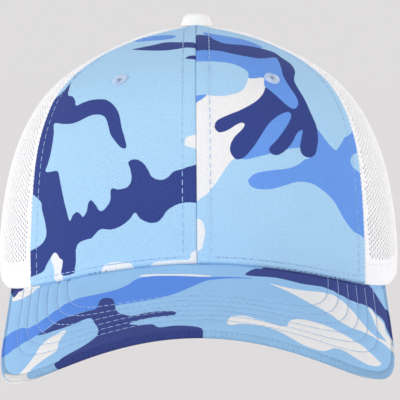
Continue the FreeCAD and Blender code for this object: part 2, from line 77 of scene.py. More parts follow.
def spline(vals, s0=None, s1=None):
    n = len(vals) - 1
    h = 1.0 / n
    m_ = np.zeros((n + 1, n + 1))
    r = np.zeros(n + 1)
    for k in range(1, n):
        m_[k, k - 1:k + 2] = h, 4 * h, h
        r[k] = 6 * ((vals[k + 1] - vals[k]) / h - (vals[k] - vals[k - 1]) / h)
    if s0 is None:
        m_[0, 0] = 1
    else:
        m_[0, 0:2] = 2 * h, h
        r[0] = 6 * ((vals[1] - vals[0]) / h - s0)
    if s1 is None:
        m_[n, n] = 1
    else:
        m_[n, n - 1:n + 1] = h, 2 * h
        r[n] = 6 * (s1 - (vals[n] - vals[n - 1]) / h)
    m = np.linalg.solve(m_, r)
    v = np.array(vals)

    def f(u):
        u = np.asarray(u, float)
        k = np.clip((u * n).astype(int), 0, n - 1)
        p = u * n - k
        q = 1 - p
        return q * v[k] + p * v[k + 1] + h * h / 6 * ((q ** 3 - q) * m[k] + (p ** 3 - p) * m[k + 1])
    return f


REACH = {"side": [1.0, 1.004, .984, .925, .806, .637, .419, .233, 0.0],
         "front": [1.0, .985, .955, .895, .78, .62, .43, .22, 0.0],
         "back": [1.0, 1.0, .97, .90, .77, .61, .42, .215, 0.0]}
RISE = {"side": [0.0, .11, .28, .49, .685, .82, .918, .975, 1.0],
        "front": [0.0, .15, .32, .53, .72, .85, .935, .982, 1.0],
        "back": [0.0, .11, .28, .48, .68, .82, .918, .975, 1.0]}
reach = {k: spline(v) for k, v in REACH.items()}
rise = {k: spline(v, None, 0.0) for k, v in RISE.items()}


def smooth01(x):
    x = np.clip(x, 0, 1)
    return x * x * (3 - 2 * x)


def plan(th, inset=0.0):
    s, c = np.sin(th), np.cos(th)
    e = 2 / POW
    b = np.where(c > 0, BF, BB) - inset
    return np.sign(s) * (A - inset) * np.abs(s) ** e, -np.sign(c) * b * np.abs(c) ** e


def visor_z(x, y):
    x = np.minimum(np.abs(x), RAD * .98)
    return ZF - SLOPE * (-y - BF) - (RAD - np.sqrt(RAD * RAD - x * x))


def hem_z(th):
    x, y = plan(th)
    k = smooth01((np.abs(deg(th)) - 68) / 20)
    return visor_z(x, y) * (1 - k)


def crown0(th, u):
    th, u = np.broadcast_arrays(np.asarray(th, float), np.asarray(u, float))
    x, y = plan(th)
    ws, wc = np.sin(th) ** 2, np.cos(th) ** 2
    fr = np.cos(th) > 0
    r = ws * reach["side"](u) + wc * np.where(fr, reach["front"](u), reach["back"](u))
    f = ws * rise["side"](u) + wc * np.where(fr, rise["front"](u), rise["back"](u))
    z0 = hem_z(th)
    return np.stack([x * r, y * r, z0 + (TOP - z0) * f], -1)


def unit(v):
    return v / np.maximum(1e-9, np.linalg.norm(v, axis=-1, keepdims=True))


def crown_n(th, u):
    e = 1e-3
    u = np.asarray(u, float)
    dt = crown0(th + e, u) - crown0(th - e, u)
    du = crown0(th, np.minimum(.995, u + e)) - crown0(th, np.maximum(-.05, u - e))
    n = unit(np.cross(dt, du))
    p = crown0(th, u)
    s = np.sign(n[..., 0] * p[..., 0] + n[..., 1] * p[..., 1] + n[..., 2] * 30)
    return n * s[..., None]


def crown(th, u, depth=0.0):
    return crown0(th, u) - crown_n(th, u) * np.asarray(depth, float)[..., None]


def seam_front(u):
    return rad(52.8 + 14.7 * np.exp(-((u - .69) / .3) ** 2) - 44 * smooth01((u - .68) / .32))


def seam_back(u):
    return rad(117 + 18 * u * u)


def radius_at(th, u):
    p = crown0(th, u)
    return np.maximum(.5, np.hypot(p[..., 0], p[..., 1]))


def arc_levels(th, u0, u1, n):
    """n+1 values of u between u0 and u1, evenly spaced along the crown at azimuth th; and the length."""
    u = np.linspace(u0, u1, 400)
    p = crown0(np.full_like(u, th), u)
    s = np.concatenate([[0], np.cumsum(np.linalg.norm(np.diff(p, axis=0), axis=1))])
    return np.interp(np.linspace(0, s[-1], n + 1), s, u), s[-1]


def u_at_z(th, z):
    th = np.asarray(th, float)
    lo, hi = np.full(th.shape, -.06), np.full(th.shape, .9)
    for _ in range(40):
        mid = (lo + hi) / 2
        below = crown0(th, mid)[..., 2] < z
        lo, hi = np.where(below, mid, lo), np.where(below, hi, mid)
    return (lo + hi) / 2


def waves(a, b, amp, size, seed):
    """Smooth deterministic unevenness, about amp high and size wide."""
    rng = np.random.RandomState(seed)
    out = np.zeros(np.broadcast(a, b).shape)
    for _ in range(9):
        t, k, ph = rng.rand() * 6.283, (0.6 + rng.rand()) * 6.283 / size, rng.rand() * 6.283
        out = out + np.sin(k * (a * math.cos(t) + b * math.sin(t)) + ph)
    return out * amp / 4.0


# ------------------------------------------------------------------ mesh helpers
def build(name, verts, faces, uvs=None, bake=None, attrs=None, smooth=True):
    """verts in mm; faces a list of (n,3) and (n,4) index arrays; uvs and bake per vertex."""
    verts = np.asarray(verts, float) * MM
    faces = [np.asarray(f, np.int32) for f in faces if len(f)]
    me = bpy.data.meshes.new(name)
    me.vertices.add(len(verts))
    me.vertices.foreach_set("co", verts.astype(np.float32).ravel())
    loops = np.concatenate([f.ravel() for f in faces])
    sizes = np.concatenate([np.full(len(f), f.shape[1]) for f in faces])
    me.loops.add(len(loops))
    me.loops.foreach_set("vertex_index", loops.astype(np.int32))
    me.polygons.add(len(sizes))
    me.polygons.foreach_set("loop_start", np.concatenate([[0], np.cumsum(sizes)[:-1]]).astype(np.int32))
    me.update(calc_edges=True)
    for layer, co in (("Cloth", uvs), ("OFBake", bake)):
        if co is not None:
            lay = me.uv_layers.new(name=layer)
            lay.data.foreach_set("uv", np.asarray(co, np.float32)[loops].ravel())
    for k, v in (attrs or {}).items():
        at = me.attributes.new(k, "FLOAT", "POINT")
        at.data.foreach_set("value", np.asarray(v, np.float32))
    if me.validate():
        me.update()
    me.polygons.foreach_set("use_smooth", np.full(len(me.polygons), smooth))
    me.update()
    ob = bpy.data.objects.new(name, me)
    bpy.context.scene.collection.objects.link(ob)
    return ob


def place(ob, mat, nodes=(), body="cap"):
    ob.data.materials.clear()
    ob.data.materials.append(mat)
    if body:
        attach(ob, body)
    if nodes:
        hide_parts(*nodes)
    return ob


def grid_faces(nr, nc):
    i = np.arange(nr * nc).reshape(nr, nc)
    return np.stack([i[:-1, :-1], i[:-1, 1:], i[1:, 1:], i[1:, :-1]], -1).reshape(-1, 4)


def unit_uv(uv, x0=0.0, x1=1.0):
    lo, hi = uv.min(0), uv.max(0)
    t = (uv - lo) / np.maximum(1e-6, hi - lo)
    return np.stack([x0 + .01 + t[:, 0] * (x1 - x0 - .02), .01 + t[:, 1] * .98], -1)


def shell(name, outer, inner, faces, uv, weld=None, attrs=None, smooth=True):
    """Closed skin between two vertex sheets of the same faces. Vertices in weld are shared by both."""
    n = len(outer)
    faces = [np.asarray(f, np.int64) for f in faces if len(f)]
    weld = np.zeros(n, bool) if weld is None else weld
    twin = np.where(weld, np.arange(n), np.arange(n) + n)
    edges = np.concatenate([np.stack([f, np.roll(f, -1, 1)], -1).reshape(-1, 2) for f in faces])
    key = np.sort(edges, 1)
    code = key[:, 0] * n + key[:, 1]
    uq, first, cnt = np.unique(code, return_index=True, return_counts=True)
    rim = edges[first[cnt == 1]]
    rim = rim[~(weld[rim[:, 0]] & weld[rim[:, 1]])]
    walls = np.stack([rim[:, 1], rim[:, 0], twin[rim[:, 0]], twin[rim[:, 1]]], -1)
    back = [twin[f[:, ::-1]] for f in faces]
    # a wall quad that touches one welded corner is a triangle
    bad = (walls[:, 0] == walls[:, 3]) | (walls[:, 1] == walls[:, 2])
    tri = [np.array([w[0], w[1], w[2]]) if w[0] == w[3] else np.array([w[0], w[1], w[3]]) for w in walls[bad]]
    allf = faces + back + [walls[~bad]] + ([np.array(tri)] if tri else [])
    verts = np.concatenate([outer, inner])
    used = np.zeros(len(verts), bool)
    for f in allf:
        used[f.ravel()] = True
    new = np.cumsum(used) - 1
    uv2 = np.concatenate([uv, uv])
    bk = np.concatenate([unit_uv(uv, 0, .5), unit_uv(uv, .5, 1)])
    at = {k: np.concatenate([v, v])[used] for k, v in (attrs or {}).items()}
    return build(name, verts[used], [new[f] for f in allf], uv2[used], bk[used], at, smooth)


class Bag:
    """Gathers many small pieces into one mesh."""
    def __init__(self):
        self.v, self.q, self.t, self.uv, self.n = [], [], [], [], 0

    def add(self, v, q=None, t=None, uv=None):
        self.v.append(v)
        if q is not None and len(q):
            self.q.append(np.asarray(q) + self.n)
        if t is not None and len(t):
            self.t.append(np.asarray(t) + self.n)
        self.uv.append(uv if uv is not None else np.zeros((len(v), 2)))
        self.n += len(v)

    def make(self, name, smooth=True):
        uv = np.concatenate(self.uv)
        faces = ([np.concatenate(self.q)] if self.q else []) + ([np.concatenate(self.t)] if self.t else [])
        bk = unit_uv(uv)
        return build(name, np.concatenate(self.v), faces, uv, bk, None, smooth)


def resample(P, N, s):
    seg = np.linalg.norm(np.diff(P, axis=0), axis=1)
    S = np.concatenate([[0], np.cumsum(seg)])
    f = lambda Q: np.stack([np.interp(s, S, Q[:, k]) for k in range(3)], -1)
    return f(P), unit(f(N))


def path_len(P):
    return np.linalg.norm(np.diff(P, axis=0), axis=1).sum()


def stitches(bag, P, N, pitch=3.6, length=2.9, r=.22, lift=.55, sides=6, seed=1, start=.5, flat=.75):
    """Row of sewn stitches along P: each rises out of one needle hole and dips into the next."""
    L = path_len(P)
    c = np.arange(start * pitch, L - .35 * pitch, pitch)
    if not len(c):
        return None
    rng = np.random.RandomState(seed)
    c = c + (rng.rand(len(c)) - .5) * .12 * pitch
    tau = np.array([-1, -.86, -.55, 0, .55, .86, 1.0])
    s = np.clip(c[:, None] + tau[None] * length / 2, 0, L)
    pos, nrm = resample(P, N, s.ravel())
    pos, nrm = pos.reshape(len(c), 7, 3), nrm.reshape(len(c), 7, 3)
    tan = unit(np.gradient(pos, axis=1))
    b = unit(np.cross(tan, nrm))
    at = np.abs(tau)
    wob = (rng.rand(len(c), 1, 1) - .5) * .25 * r
    h = r * (lift - (lift + 1.6) * at ** 6)
    rr = r * (1 - .3 * at ** 6)
    ph = np.arange(sides) / sides * 2 * np.pi
    ring = (pos + b * wob * tau[None, :, None])[:, :, None] + nrm[:, :, None] * (h[None, :, None, None] + rr[None, :, None, None] * flat * np.sin(ph)[None, None, :, None]) \
        + b[:, :, None] * rr[None, :, None, None] * np.cos(ph)[None, None, :, None]
    nc = len(c)
    v = ring.reshape(-1, 3)
    idx = np.arange(nc * 7 * sides).reshape(nc, 7, sides)
    a0, a1 = idx[:, :-1], idx[:, 1:]
    q = np.stack([a0, np.roll(a0, -1, 2), np.roll(a1, -1, 2), a1], -1).reshape(-1, 4)
    t = []
    for k in range(1, sides - 1):
        t.append(np.stack([idx[:, 0, 0], idx[:, 0, k + 1], idx[:, 0, k]], -1))
        t.append(np.stack([idx[:, -1, 0], idx[:, -1, k], idx[:, -1, k + 1]], -1))
    uu = np.broadcast_to((tau * length / 2)[None, :, None], (nc, 7, sides))
    vv = np.broadcast_to((ph / (2 * np.pi))[None, None, :], (nc, 7, sides))
    bag.add(v, q, np.concatenate(t), np.stack([uu.ravel(), vv.ravel()], -1))
    return pos[:, [0, -1]].reshape(-1, 3), nrm[:, [0, -1]].reshape(-1, 3), tan[:, [0, -1]].reshape(-1, 3)


def hole_shade_at(bag, pts, size=(.42, .26)):
    """Painted shade at the needle holes where the thread goes through: small dark flat lens shapes let into the cloth,
    standing in for the shade inside each hole.
    """
    if pts is None:
        return
    p, n, t = pts
    b = unit(np.cross(t, n))
    k = 8
    ph = np.arange(k) / k * 2 * np.pi
    rim = p[:, None] + t[:, None] * (size[0] * np.cos(ph))[None, :, None] + b[:, None] * (size[1] * np.sin(ph))[None, :, None] + n[:, None] * .015
    top = p + n * .05
    bot = p - n * .15
    m = len(p)
    v = np.concatenate([rim.reshape(-1, 3), top, bot])
    r_ = np.arange(m * k).reshape(m, k)
    tt = np.stack([r_, np.roll(r_, -1, 1), np.broadcast_to((m * k + np.arange(m))[:, None], (m, k))], -1).reshape(-1, 3)
    tb = np.stack([np.roll(r_, -1, 1), r_, np.broadcast_to((m * k + m + np.arange(m))[:, None], (m, k))], -1).reshape(-1, 3)
    uv = np.random.RandomState(3).rand(len(v), 2)
    bag.add(v, None, np.concatenate([tt, tb]), uv)


# ------------------------------------------------------------------ materials
def lin(c):
    c = np.array(c[:3], float) / 255.0
    v = np.where(c <= .04045, c / 12.92, ((c + .055) / 1.055) ** 2.4)
    return (float(v[0]), float(v[1]), float(v[2]), 1.0)


class Mat:
    def __init__(self, name):
        self.m = bpy.data.materials.new(name)
        self.m.use_nodes = True
        self.t = self.m.node_tree
        self.t.nodes.clear()
        self.o = self.n("ShaderNodeOutputMaterial")
        self.b = self.n("ShaderNodeBsdfPrincipled")
        self.t.links.new(self.b.outputs[0], self.o.inputs[0])

    def n(self, kind, **kw):
        x = self.t.nodes.new(kind)
        for k, v in kw.items():
            setattr(x, k, v)
        return x

    def put(self, sock, v):
        if isinstance(v, bpy.types.NodeSocket):
            self.t.links.new(v, sock)
        else:
            sock.default_value = v

    def math(self, op, a, b=0.0, c=0.0, clamp=False):
        x = self.n("ShaderNodeMath", operation=op, use_clamp=clamp)
        self.put(x.inputs[0], a)
        self.put(x.inputs[1], b)
        self.put(x.inputs[2], c)
        return x.outputs[0]

    def add(self, a, b):
        return self.math("ADD", a, b)

    def mul(self, a, b):
        return self.math("MULTIPLY", a, b)

    def uv(self):
        x = self.n("ShaderNodeUVMap", uv_map="Cloth")
        s = self.n("ShaderNodeSeparateXYZ")
        self.t.links.new(x.outputs[0], s.inputs[0])
        return x.outputs[0], s.outputs[0], s.outputs[1]

    def obj(self):
        return self.n("ShaderNodeTexCoord").outputs["Object"]

    def attr(self, name):
        return self.n("ShaderNodeAttribute", attribute_name=name, attribute_type="GEOMETRY").outputs["Fac"]

    def noise(self, vec, scale, detail=2.0, rough=.5):
        x = self.n("ShaderNodeTexNoise")
        self.put(x.inputs["Vector"], vec)
        x.inputs["Scale"].default_value = scale
        x.inputs["Detail"].default_value = detail
        x.inputs["Roughness"].default_value = rough
        return x.outputs["Fac"]

    def sine(self, x, y, px, py, phase=0.0):
        """sin(2 pi (x/px + y/py))"""
        t = self.add(self.mul(x, 6.28318 / px if px else 0.0), self.mul(y, 6.28318 / py if py else 0.0))
        return self.math("SINE", self.add(t, phase))

    def band(self, v, lo, hi):
        x = self.n("ShaderNodeMapRange", interpolation_type="SMOOTHSTEP")
        self.put(x.inputs["Value"], v)
        x.inputs["From Min"].default_value = lo
        x.inputs["From Max"].default_value = hi
        return x.outputs["Result"]

    def mix(self, f, a, b, kind="MIX"):
        x = self.n("ShaderNodeMix", data_type="RGBA", blend_type=kind)
        self.put(x.inputs[0], f)
        self.put(x.inputs[6], a)
        self.put(x.inputs[7], b)
        return x.outputs[2]

    def bump(self, h, dist, strength=1.0):
        x = self.n("ShaderNodeBump")
        x.inputs["Strength"].default_value = strength
        x.inputs["Distance"].default_value = dist
        self.put(x.inputs["Height"], h)
        self.t.links.new(x.outputs[0], self.b.inputs["Normal"])

    def grey(self, v):
        x = self.n("ShaderNodeCombineColor")
        for k in range(3):
            self.put(x.inputs[k], v)
        return x.outputs[0]

    def finish(self, col, rough, h=None, dist=5e-5, sheen=0.0, spec=.3, metal=0.0, strength=1.0, coat=0.0):
        self.put(self.b.inputs["Base Color"], col)
        self.put(self.b.inputs["Roughness"], rough)
        self.b.inputs["Specular IOR Level"].default_value = spec
        self.b.inputs["Metallic"].default_value = metal
        self.b.inputs["Sheen Weight"].default_value = sheen
        self.b.inputs["Sheen Roughness"].default_value = .5
        self.b.inputs["Coat Weight"].default_value = coat
        if h is not None:
            self.bump(h, dist, strength)
        return self.m


def twill(M, x, y, pitch=.92):
    """Diagonal ribs with the crossing yarns that break them up."""
    rib = M.sine(x, y, pitch * 1.25, pitch * 1.6)
    yarn = M.sine(x, y, pitch * .5, 0)
    yarn2 = M.sine(x, y, 0, pitch * .55)
    return M.add(M.mul(rib, .6), M.mul(M.mul(yarn, yarn2), .4))


def print_material(name, light, white, mid, navy, rim=False):
    M = Mat(name)
    uv, x, y = M.uv()
    edge = M.mul(M.add(M.noise(uv, 1.4, 3), -.5), .35)
    tw = twill(M, x, y)
    fleck = M.noise(uv, 3.1, 2)
    cloud = M.noise(uv, .06, 3)
    streak = M.noise(uv, .9, 1)
    col = lin(light)
    for key, c in (("ink_white", white), ("ink_mid", mid), ("ink_light", light), ("ink_navy", navy)):
        f = M.band(M.add(M.attr(key), edge), -.16, .16)
        col = M.mix(f, col, lin(c))
    # colour follows the twill: the weave's own tone plus painted shade, darker in the grooves between the ribs; fleck,
    # cloud and streak are random tone
    shade = M.add(M.add(1.0, M.mul(tw, .11)), M.add(M.mul(M.add(fleck, -.5), .26), M.add(M.mul(M.add(cloud, -.5), .08), M.mul(M.add(streak, -.5), .16))))
    col = M.mix(1.0, col, M.grey(shade), "MULTIPLY")
    # undyed fibre showing through the darker inks
    col = M.mix(M.mul(M.band(M.add(M.mul(tw, .5), fleck), .62, 1.15), .10), col, lin((214, 224, 246)))
    rough = M.add(.78, M.mul(fleck, .14))
    h = M.add(M.mul(tw, .5), M.mul(fleck, .6))
    if rim:
        # gathered ribs where the cloth turns round the edge
        along = M.attr("along")
        rib = M.add(M.sine(along, 0.0, .78, 0), M.mul(M.sine(along, 0.0, 2.1, 0), .35))
        k = M.attr("rim")
        h = M.add(h, M.mul(M.mul(rib, k), 2.2))
        # painted shade: the turned rim is darkened by 7% and the ribs' colour follows their height, lighter on the
        # crests and darker between them
        col = M.mix(1.0, col, M.grey(M.add(M.add(1.0, M.mul(k, -.07)), M.mul(M.mul(rib, k), .06))), "MULTIPLY")
    return M.finish(col, rough, h, 7e-5, sheen=.03, spec=.12)


def cloth(name, c, pitch=.7, rib=.04, fleck_amt=.08, dist=6e-5, sheen=.1, rough0=.8, plain=False, tint=None):
    M = Mat(name)
    uv, x, y = M.uv()
    if plain:
        tw = M.mul(M.sine(x, y, pitch, 0), M.sine(x, y, 0, pitch))
    else:
        tw = twill(M, x, y, pitch)
    fleck = M.noise(uv, 2.3, 3)
    cloud = M.noise(uv, .08, 3)
    # colour follows the weave: the cloth's own tone plus painted shade, darker in the grooves between the ribs; fleck
    # and cloud are random tone
    shade = M.add(M.add(1.0, M.mul(tw, rib)), M.add(M.mul(M.add(fleck, -.5), fleck_amt), M.mul(M.add(cloud, -.5), .07)))
    col = M.mix(M.band(cloud, .35, .75), lin(c), lin(tint or tuple(int(k * .985) for k in c)))
    col = M.mix(1.0, col, M.grey(shade), "MULTIPLY")
    return M.finish(col, M.add(rough0, M.mul(fleck, .12)), M.add(M.mul(tw, .6), M.mul(fleck, .5)), dist, sheen=sheen, spec=.2)


def yarn(name, c, dark=None, rough0=.55, sheen=.1):
    M = Mat(name)
    uv, x, y = M.uv()
    tw = M.sine(x, y, .32, .5)
    f = M.noise(uv, 3.0, 2)
    g = M.noise(M.obj(), 210.0, 2)
    col = M.mix(M.band(g, .3, .7), lin(c), lin(dark or tuple(int(k * .93) for k in c)))
    # colour follows the twist: the thread's own tone plus painted shade, darker in the grooves of the twist
    col = M.mix(1.0, col, M.grey(M.add(.97, M.mul(tw, .06))), "MULTIPLY")
    return M.finish(col, M.add(rough0, M.mul(f, .2)), M.add(M.mul(tw, .5), f), 4e-5, sheen=sheen, spec=.35)


def plastic(name, c, grain=900.0, rough0=.34, spec=.5):
    M = Mat(name)
    o = M.obj()
    g = M.noise(o, grain, 3)
    big = M.noise(o, 45.0, 3)
    scuff = M.noise(o, 190.0, 5, .7)
    col = M.mix(M.band(big, .35, .7), lin(c), lin(tuple(int(k * .97) for k in c)))
    col = M.mix(M.mul(M.band(scuff, .62, .8), .12), col, lin(tuple(min(255, int(k * 1.05) + 3) for k in c)))
    rough = M.add(rough0, M.add(M.mul(g, .10), M.mul(M.band(scuff, .5, .8), .16)))
    return M.finish(col, rough, M.add(M.mul(g, .5), M.mul(scuff, .5)), 2.5e-5, spec=spec)


def metal(name, c):
    M = Mat(name)
    o = M.obj()
    g = M.noise(o, 700.0, 4)
    s = M.noise(o, 90.0, 4)
    col = M.mix(M.band(s, .4, .7), lin(c), lin(tuple(int(k * .8) for k in c)))
    return M.finish(col, M.add(.28, M.mul(s, .25)), g, 2e-5, metal=1.0, spec=.5)


CROWN_INK = dict(light=(167, 208, 239), white=(234, 235, 236), mid=(102, 152, 231), navy=(49, 65, 134))
m_print = print_material("printed_twill", **CROWN_INK)
m_visor = print_material("printed_twill_visor", light=(153, 200, 241), white=(240, 240, 240), mid=(90, 144, 235), navy=(52, 66, 136), rim=True)
m_under = print_material("printed_twill_under", light=(150, 197, 240), white=(236, 236, 237), mid=(88, 142, 234), navy=(52, 66, 136))
m_mesh = yarn("mesh_knit", (250, 250, 251), (246, 246, 248), .5)
# painted glow: a small white emission brightens the mesh, standing in for the light that passes through the thin
# polyester
for nd in m_mesh.node_tree.nodes:
    if nd.type == "BSDF_PRINCIPLED":
        nd.inputs["Emission Color"].default_value = (1, 1, 1, 1)
        nd.inputs["Emission Strength"].default_value = .065
m_buck = cloth("buckram_weave", (232, 231, 226), 1.1, .07, .10, 1.4e-4, 0.0, .88, True, (225, 223, 214))
m_tape = cloth("tape_twill", (236, 236, 236), .9, .05, .06, 8e-5)
m_bind = cloth("binding_grosgrain", (238, 238, 238), 1.0, .05, .05, 9e-5)
m_band = cloth("sweatband_cloth", (238, 237, 234), .9, .05, .10, 1.2e-4, .25, .86)
m_foam = cloth("foam_pad", (226, 224, 214), .8, .02, .16, 2e-4, 0.0, .95, True)
m_button = cloth("button_cloth", (242, 242, 239), .55, .04, .05, 5e-5, .1, .75)
m_label = cloth("label_satin", (240, 240, 240), .35, .03, .03, 3e-5, .3, .45, True)
m_thread = yarn("thread_pale", (178, 209, 245), (156, 192, 236))
m_white_thread = yarn("thread_white", (240, 240, 240))
m_navy_thread = yarn("thread_navy", (72, 94, 168), (92, 120, 196))
m_eye_thread = yarn("thread_eyelet", (206, 223, 247), (184, 206, 236), .42)
# painted shade: dark blues for the lenses at the needle holes, standing in for the shade inside each hole
m_hole_shade = yarn("needle_shadow", (92, 128, 178), (66, 94, 150), .9)
m_hole_shade_pale = yarn("needle_shadow_visor", (110, 146, 196), (88, 122, 176), .9)
m_dark = yarn("eyelet_shadow", (60, 70, 90), (40, 46, 62), .9)
m_snap = plastic("snap_plastic", (236, 237, 238))
m_board = plastic("visor_board_plastic", (222, 222, 216), 500.0, .5)
m_metal = metal("button_metal", (196, 196, 200))

# ------------------------------------------------------------------ printed pattern outlines
PRINT_LEFT = json.loads('''{"navy":[[[-38.47,0.7104],[-25.21,0.7257],[-17.88,0.7401],[-6.47,0.732],[4.0,0.716],[4.0,0.6864],[-3.11,0.6903],[-5.57,0.6911],[-14.42,0.6827],[-25.94,0.6923],[-35.36,0.7054]],[[-3.9,0.6335],[-1.7,0.6452],[4.0,0.6454],[4.0,0.6243],[-2.57,0.6269]],[[-63.85,0.6326],[-61.74,0.5839],[-60.84,0.5375],[-67.98,0.4841],[-66.28,0.4435],[-64.73,0.4042],[-63.37,0.3657],[-62.39,0.3337],[-61.97,0.3184],[-50.94,0.2723],[-49.08,0.2462],[-46.84,0.207],[-46.1,0.169],[-49.34,0.144],[-59.21,0.1217],[-58.94,0.0426],[-47.83,0.0486],[-45.1,0.0779],[-41.95,0.1113],[-39.8,0.0847],[-38.7,0.0753],[-38.93,0.0219],[-34.29,0.0179],[-34.17,0.0338],[-33.87,0.0662],[-33.97,0.1028],[-33.01,0.1233],[-30.42,0.1292],[-28.75,0.1306],[-27.14,0.1467],[-25.59,0.1532],[-22.78,0.146],[-19.81,0.1523],[-17.26,0.1703],[-15.89,0.1883],[-14.41,0.1678],[-12.52,0.1541],[-11.13,0.1492],[-9.47,0.1515],[-8.17,0.1666],[-7.15,0.1839],[-5.18,0.1981],[-2.62,0.206],[4.0,0.213],[4.0,0.308],[-1.42,0.3018],[-3.31,0.2962],[-5.62,0.2907],[-7.32,0.2759],[-9.37,0.2724],[-11.53,0.2818],[-12.51,0.2968],[-13.96,0.3148],[-15.9,0.3264],[-17.86,0.3281],[-18.77,0.3221],[-18.08,0.3077],[-17.41,0.2855],[-17.77,0.27],[-18.82,0.2615],[-21.14,0.2594],[-23.54,0.2639],[-23.51,0.2348],[-24.74,0.2154],[-25.92,0.208],[-26.95,0.2125],[-28.12,0.2281],[-29.92,0.2441],[-30.77,0.2354],[-31.01,0.215],[-32.15,0.2016],[-32.92,0.2094],[-34.43,0.2194],[-35.93,0.2137],[-36.94,0.1988],[-38.54,0.2313],[-39.93,0.2586],[-42.17,0.303],[-43.66,0.3265],[-45.0,0.3323],[-48.93,0.3334],[-50.21,0.3389],[-49.73,0.3514],[-49.65,0.3798],[-51.17,0.4223],[-53.46,0.4497],[-47.52,0.4433],[-43.52,0.4402],[-40.2,0.4431],[-36.24,0.4524],[-33.64,0.4537],[-30.89,0.449],[-28.93,0.4382],[-27.25,0.417],[-25.98,0.3971],[-24.53,0.3834],[-21.97,0.3626],[-20.42,0.3567],[-19.87,0.3607],[-20.62,0.3797],[-22.32,0.4091],[-24.17,0.4436],[-26.75,0.4686],[-30.19,0.4883],[-33.33,0.4963],[-38.07,0.4989],[-41.99,0.495],[-45.05,0.4897],[-46.99,0.5057],[-50.28,0.5218],[-52.85,0.5261],[-54.69,0.5329],[-57.74,0.5573],[-62.65,0.5946]]],"white":[[[4.0,0.379],[-1.75,0.3746],[-2.67,0.3623],[-2.06,0.3498],[4.0,0.3403]],[[-43.44,0.0918],[-41.94,0.1095],[-38.82,0.0755],[-38.95,-0.04],[-41.48,0.0042],[-42.12,0.0519]],[[-25.02,0.0175],[-23.29,0.0292],[-20.72,0.0307],[-18.1,0.0232],[-16.19,0.0107],[-15.8,-0.044],[-25.2,-0.04]],[[-10.99,0.0069],[-7.69,0.0151],[-3.59,0.0153],[-1.49,0.0177],[-0.9,0.0421],[4.0,0.0593],[4.0,-0.0588],[-11.45,-0.05]]],"mid":[[[-60.57,0.787],[-42.54,0.8099],[-27.27,0.8171],[-14.8,0.7967],[-17.19,0.7688],[-32.79,0.765]]],"light":[]}''')
PRINT_RIGHT = json.loads('''{"navy":[[[-4.0,0.7863],[7.71,0.7865],[10.82,0.7575],[16.55,0.7284],[28.66,0.723],[39.32,0.7114],[46.83,0.696],[47.38,0.6694],[48.31,0.6393],[45.35,0.6025],[40.53,0.5667],[39.32,0.5372],[39.68,0.4963],[39.85,0.4574],[40.26,0.4284],[39.59,0.4],[38.18,0.3748],[36.45,0.354],[33.79,0.3455],[31.61,0.3506],[31.35,0.368],[32.63,0.3902],[33.78,0.41],[31.33,0.3997],[28.65,0.3743],[25.98,0.354],[23.19,0.3409],[21.17,0.3423],[20.72,0.3553],[23.47,0.3759],[26.84,0.4037],[30.33,0.4353],[30.93,0.4492],[29.55,0.4519],[25.69,0.4381],[21.89,0.4153],[18.67,0.3844],[15.83,0.3548],[12.87,0.3287],[10.63,0.3215],[9.1,0.333],[8.86,0.3511],[10.14,0.3731],[12.43,0.3917],[13.79,0.4051],[13.31,0.4122],[11.48,0.407],[8.25,0.3899],[5.98,0.3852],[4.84,0.3967],[5.48,0.4137],[8.23,0.4275],[13.29,0.4465],[18.57,0.4712],[22.2,0.4965],[24.58,0.5236],[24.91,0.5194],[27.63,0.4968],[30.89,0.4698],[33.18,0.4641],[35.54,0.4777],[36.18,0.5006],[35.31,0.5333],[35.75,0.5764],[39.73,0.6307],[41.7,0.664],[30.76,0.6467],[24.14,0.6498],[16.42,0.663],[9.4,0.6786],[-4.0,0.6777]]],"mid":[[[-4.0,0.6864],[9.66,0.6874],[16.91,0.6724],[25.01,0.6612],[31.75,0.6564],[44.08,0.6735],[41.38,0.6324],[36.87,0.5776],[36.17,0.5341],[37.15,0.5015],[36.46,0.4785],[34.04,0.4649],[31.57,0.4673],[27.43,0.4927],[24.59,0.5125],[24.33,0.5328],[25.51,0.5576],[21.43,0.5512],[18.87,0.5509],[16.29,0.5734],[-4.0,0.5953]],[[-4.0,0.4956],[2.81,0.4892],[0.48,0.4651],[-4.0,0.4481]],[[12.07,0.3235],[14.18,0.3579],[19.76,0.4231],[27.38,0.4609],[35.75,0.4684],[35.25,0.4114],[32.0,0.3703],[26.92,0.3584],[17.82,0.3342]],[[38.92,0.4198],[40.44,0.4164],[42.42,0.3969],[44.42,0.3809],[46.46,0.3755],[50.13,0.3947],[54.33,0.4128],[65.41,0.4219],[59.59,0.1776],[50.31,0.1772],[47.6,0.1861],[44.62,0.2103],[42.93,0.2317],[40.83,0.2541],[37.27,0.2739],[33.76,0.2847],[30.22,0.2851],[27.61,0.2806],[24.18,0.2689],[20.11,0.2559],[16.33,0.2521],[14.15,0.2576],[13.44,0.2703],[14.14,0.2801],[16.28,0.2928],[20.6,0.3025],[26.01,0.3122],[29.67,0.3251],[32.25,0.3395],[34.38,0.3496]],[[5.23,0.8197],[22.14,0.7965],[35.91,0.7689],[41.81,0.7168],[28.05,0.7177],[16.26,0.7239],[9.33,0.7528]]],"light":[[[-4.0,0.6119],[1.37,0.6142],[7.38,0.6169],[14.16,0.6089],[18.68,0.5857],[19.31,0.5619],[15.56,0.5086],[10.23,0.4878],[6.05,0.4835],[2.92,0.4861],[-4.0,0.4918]],[[52.26,0.3555],[55.35,0.3734],[64.0,0.3841],[62.14,0.3247],[53.88,0.3367]]],"white":[[[-4.0,0.4537],[1.02,0.471],[2.81,0.4892],[6.11,0.4897],[10.34,0.4941],[15.36,0.5196],[18.26,0.5505],[25.47,0.5568],[24.71,0.5237],[21.39,0.479],[16.17,0.408],[13.75,0.3941],[11.68,0.3445],[10.37,0.3247],[9.49,0.3209],[7.3,0.2982],[5.47,0.2721],[3.48,0.2449],[1.29,0.2216],[-4.0,0.2041]],[[-4.0,0.1702],[0.65,0.1514],[1.48,0.1327],[1.74,0.1075],[1.26,0.0718],[0.59,0.0499],[-4.0,0.0349]]]}''')
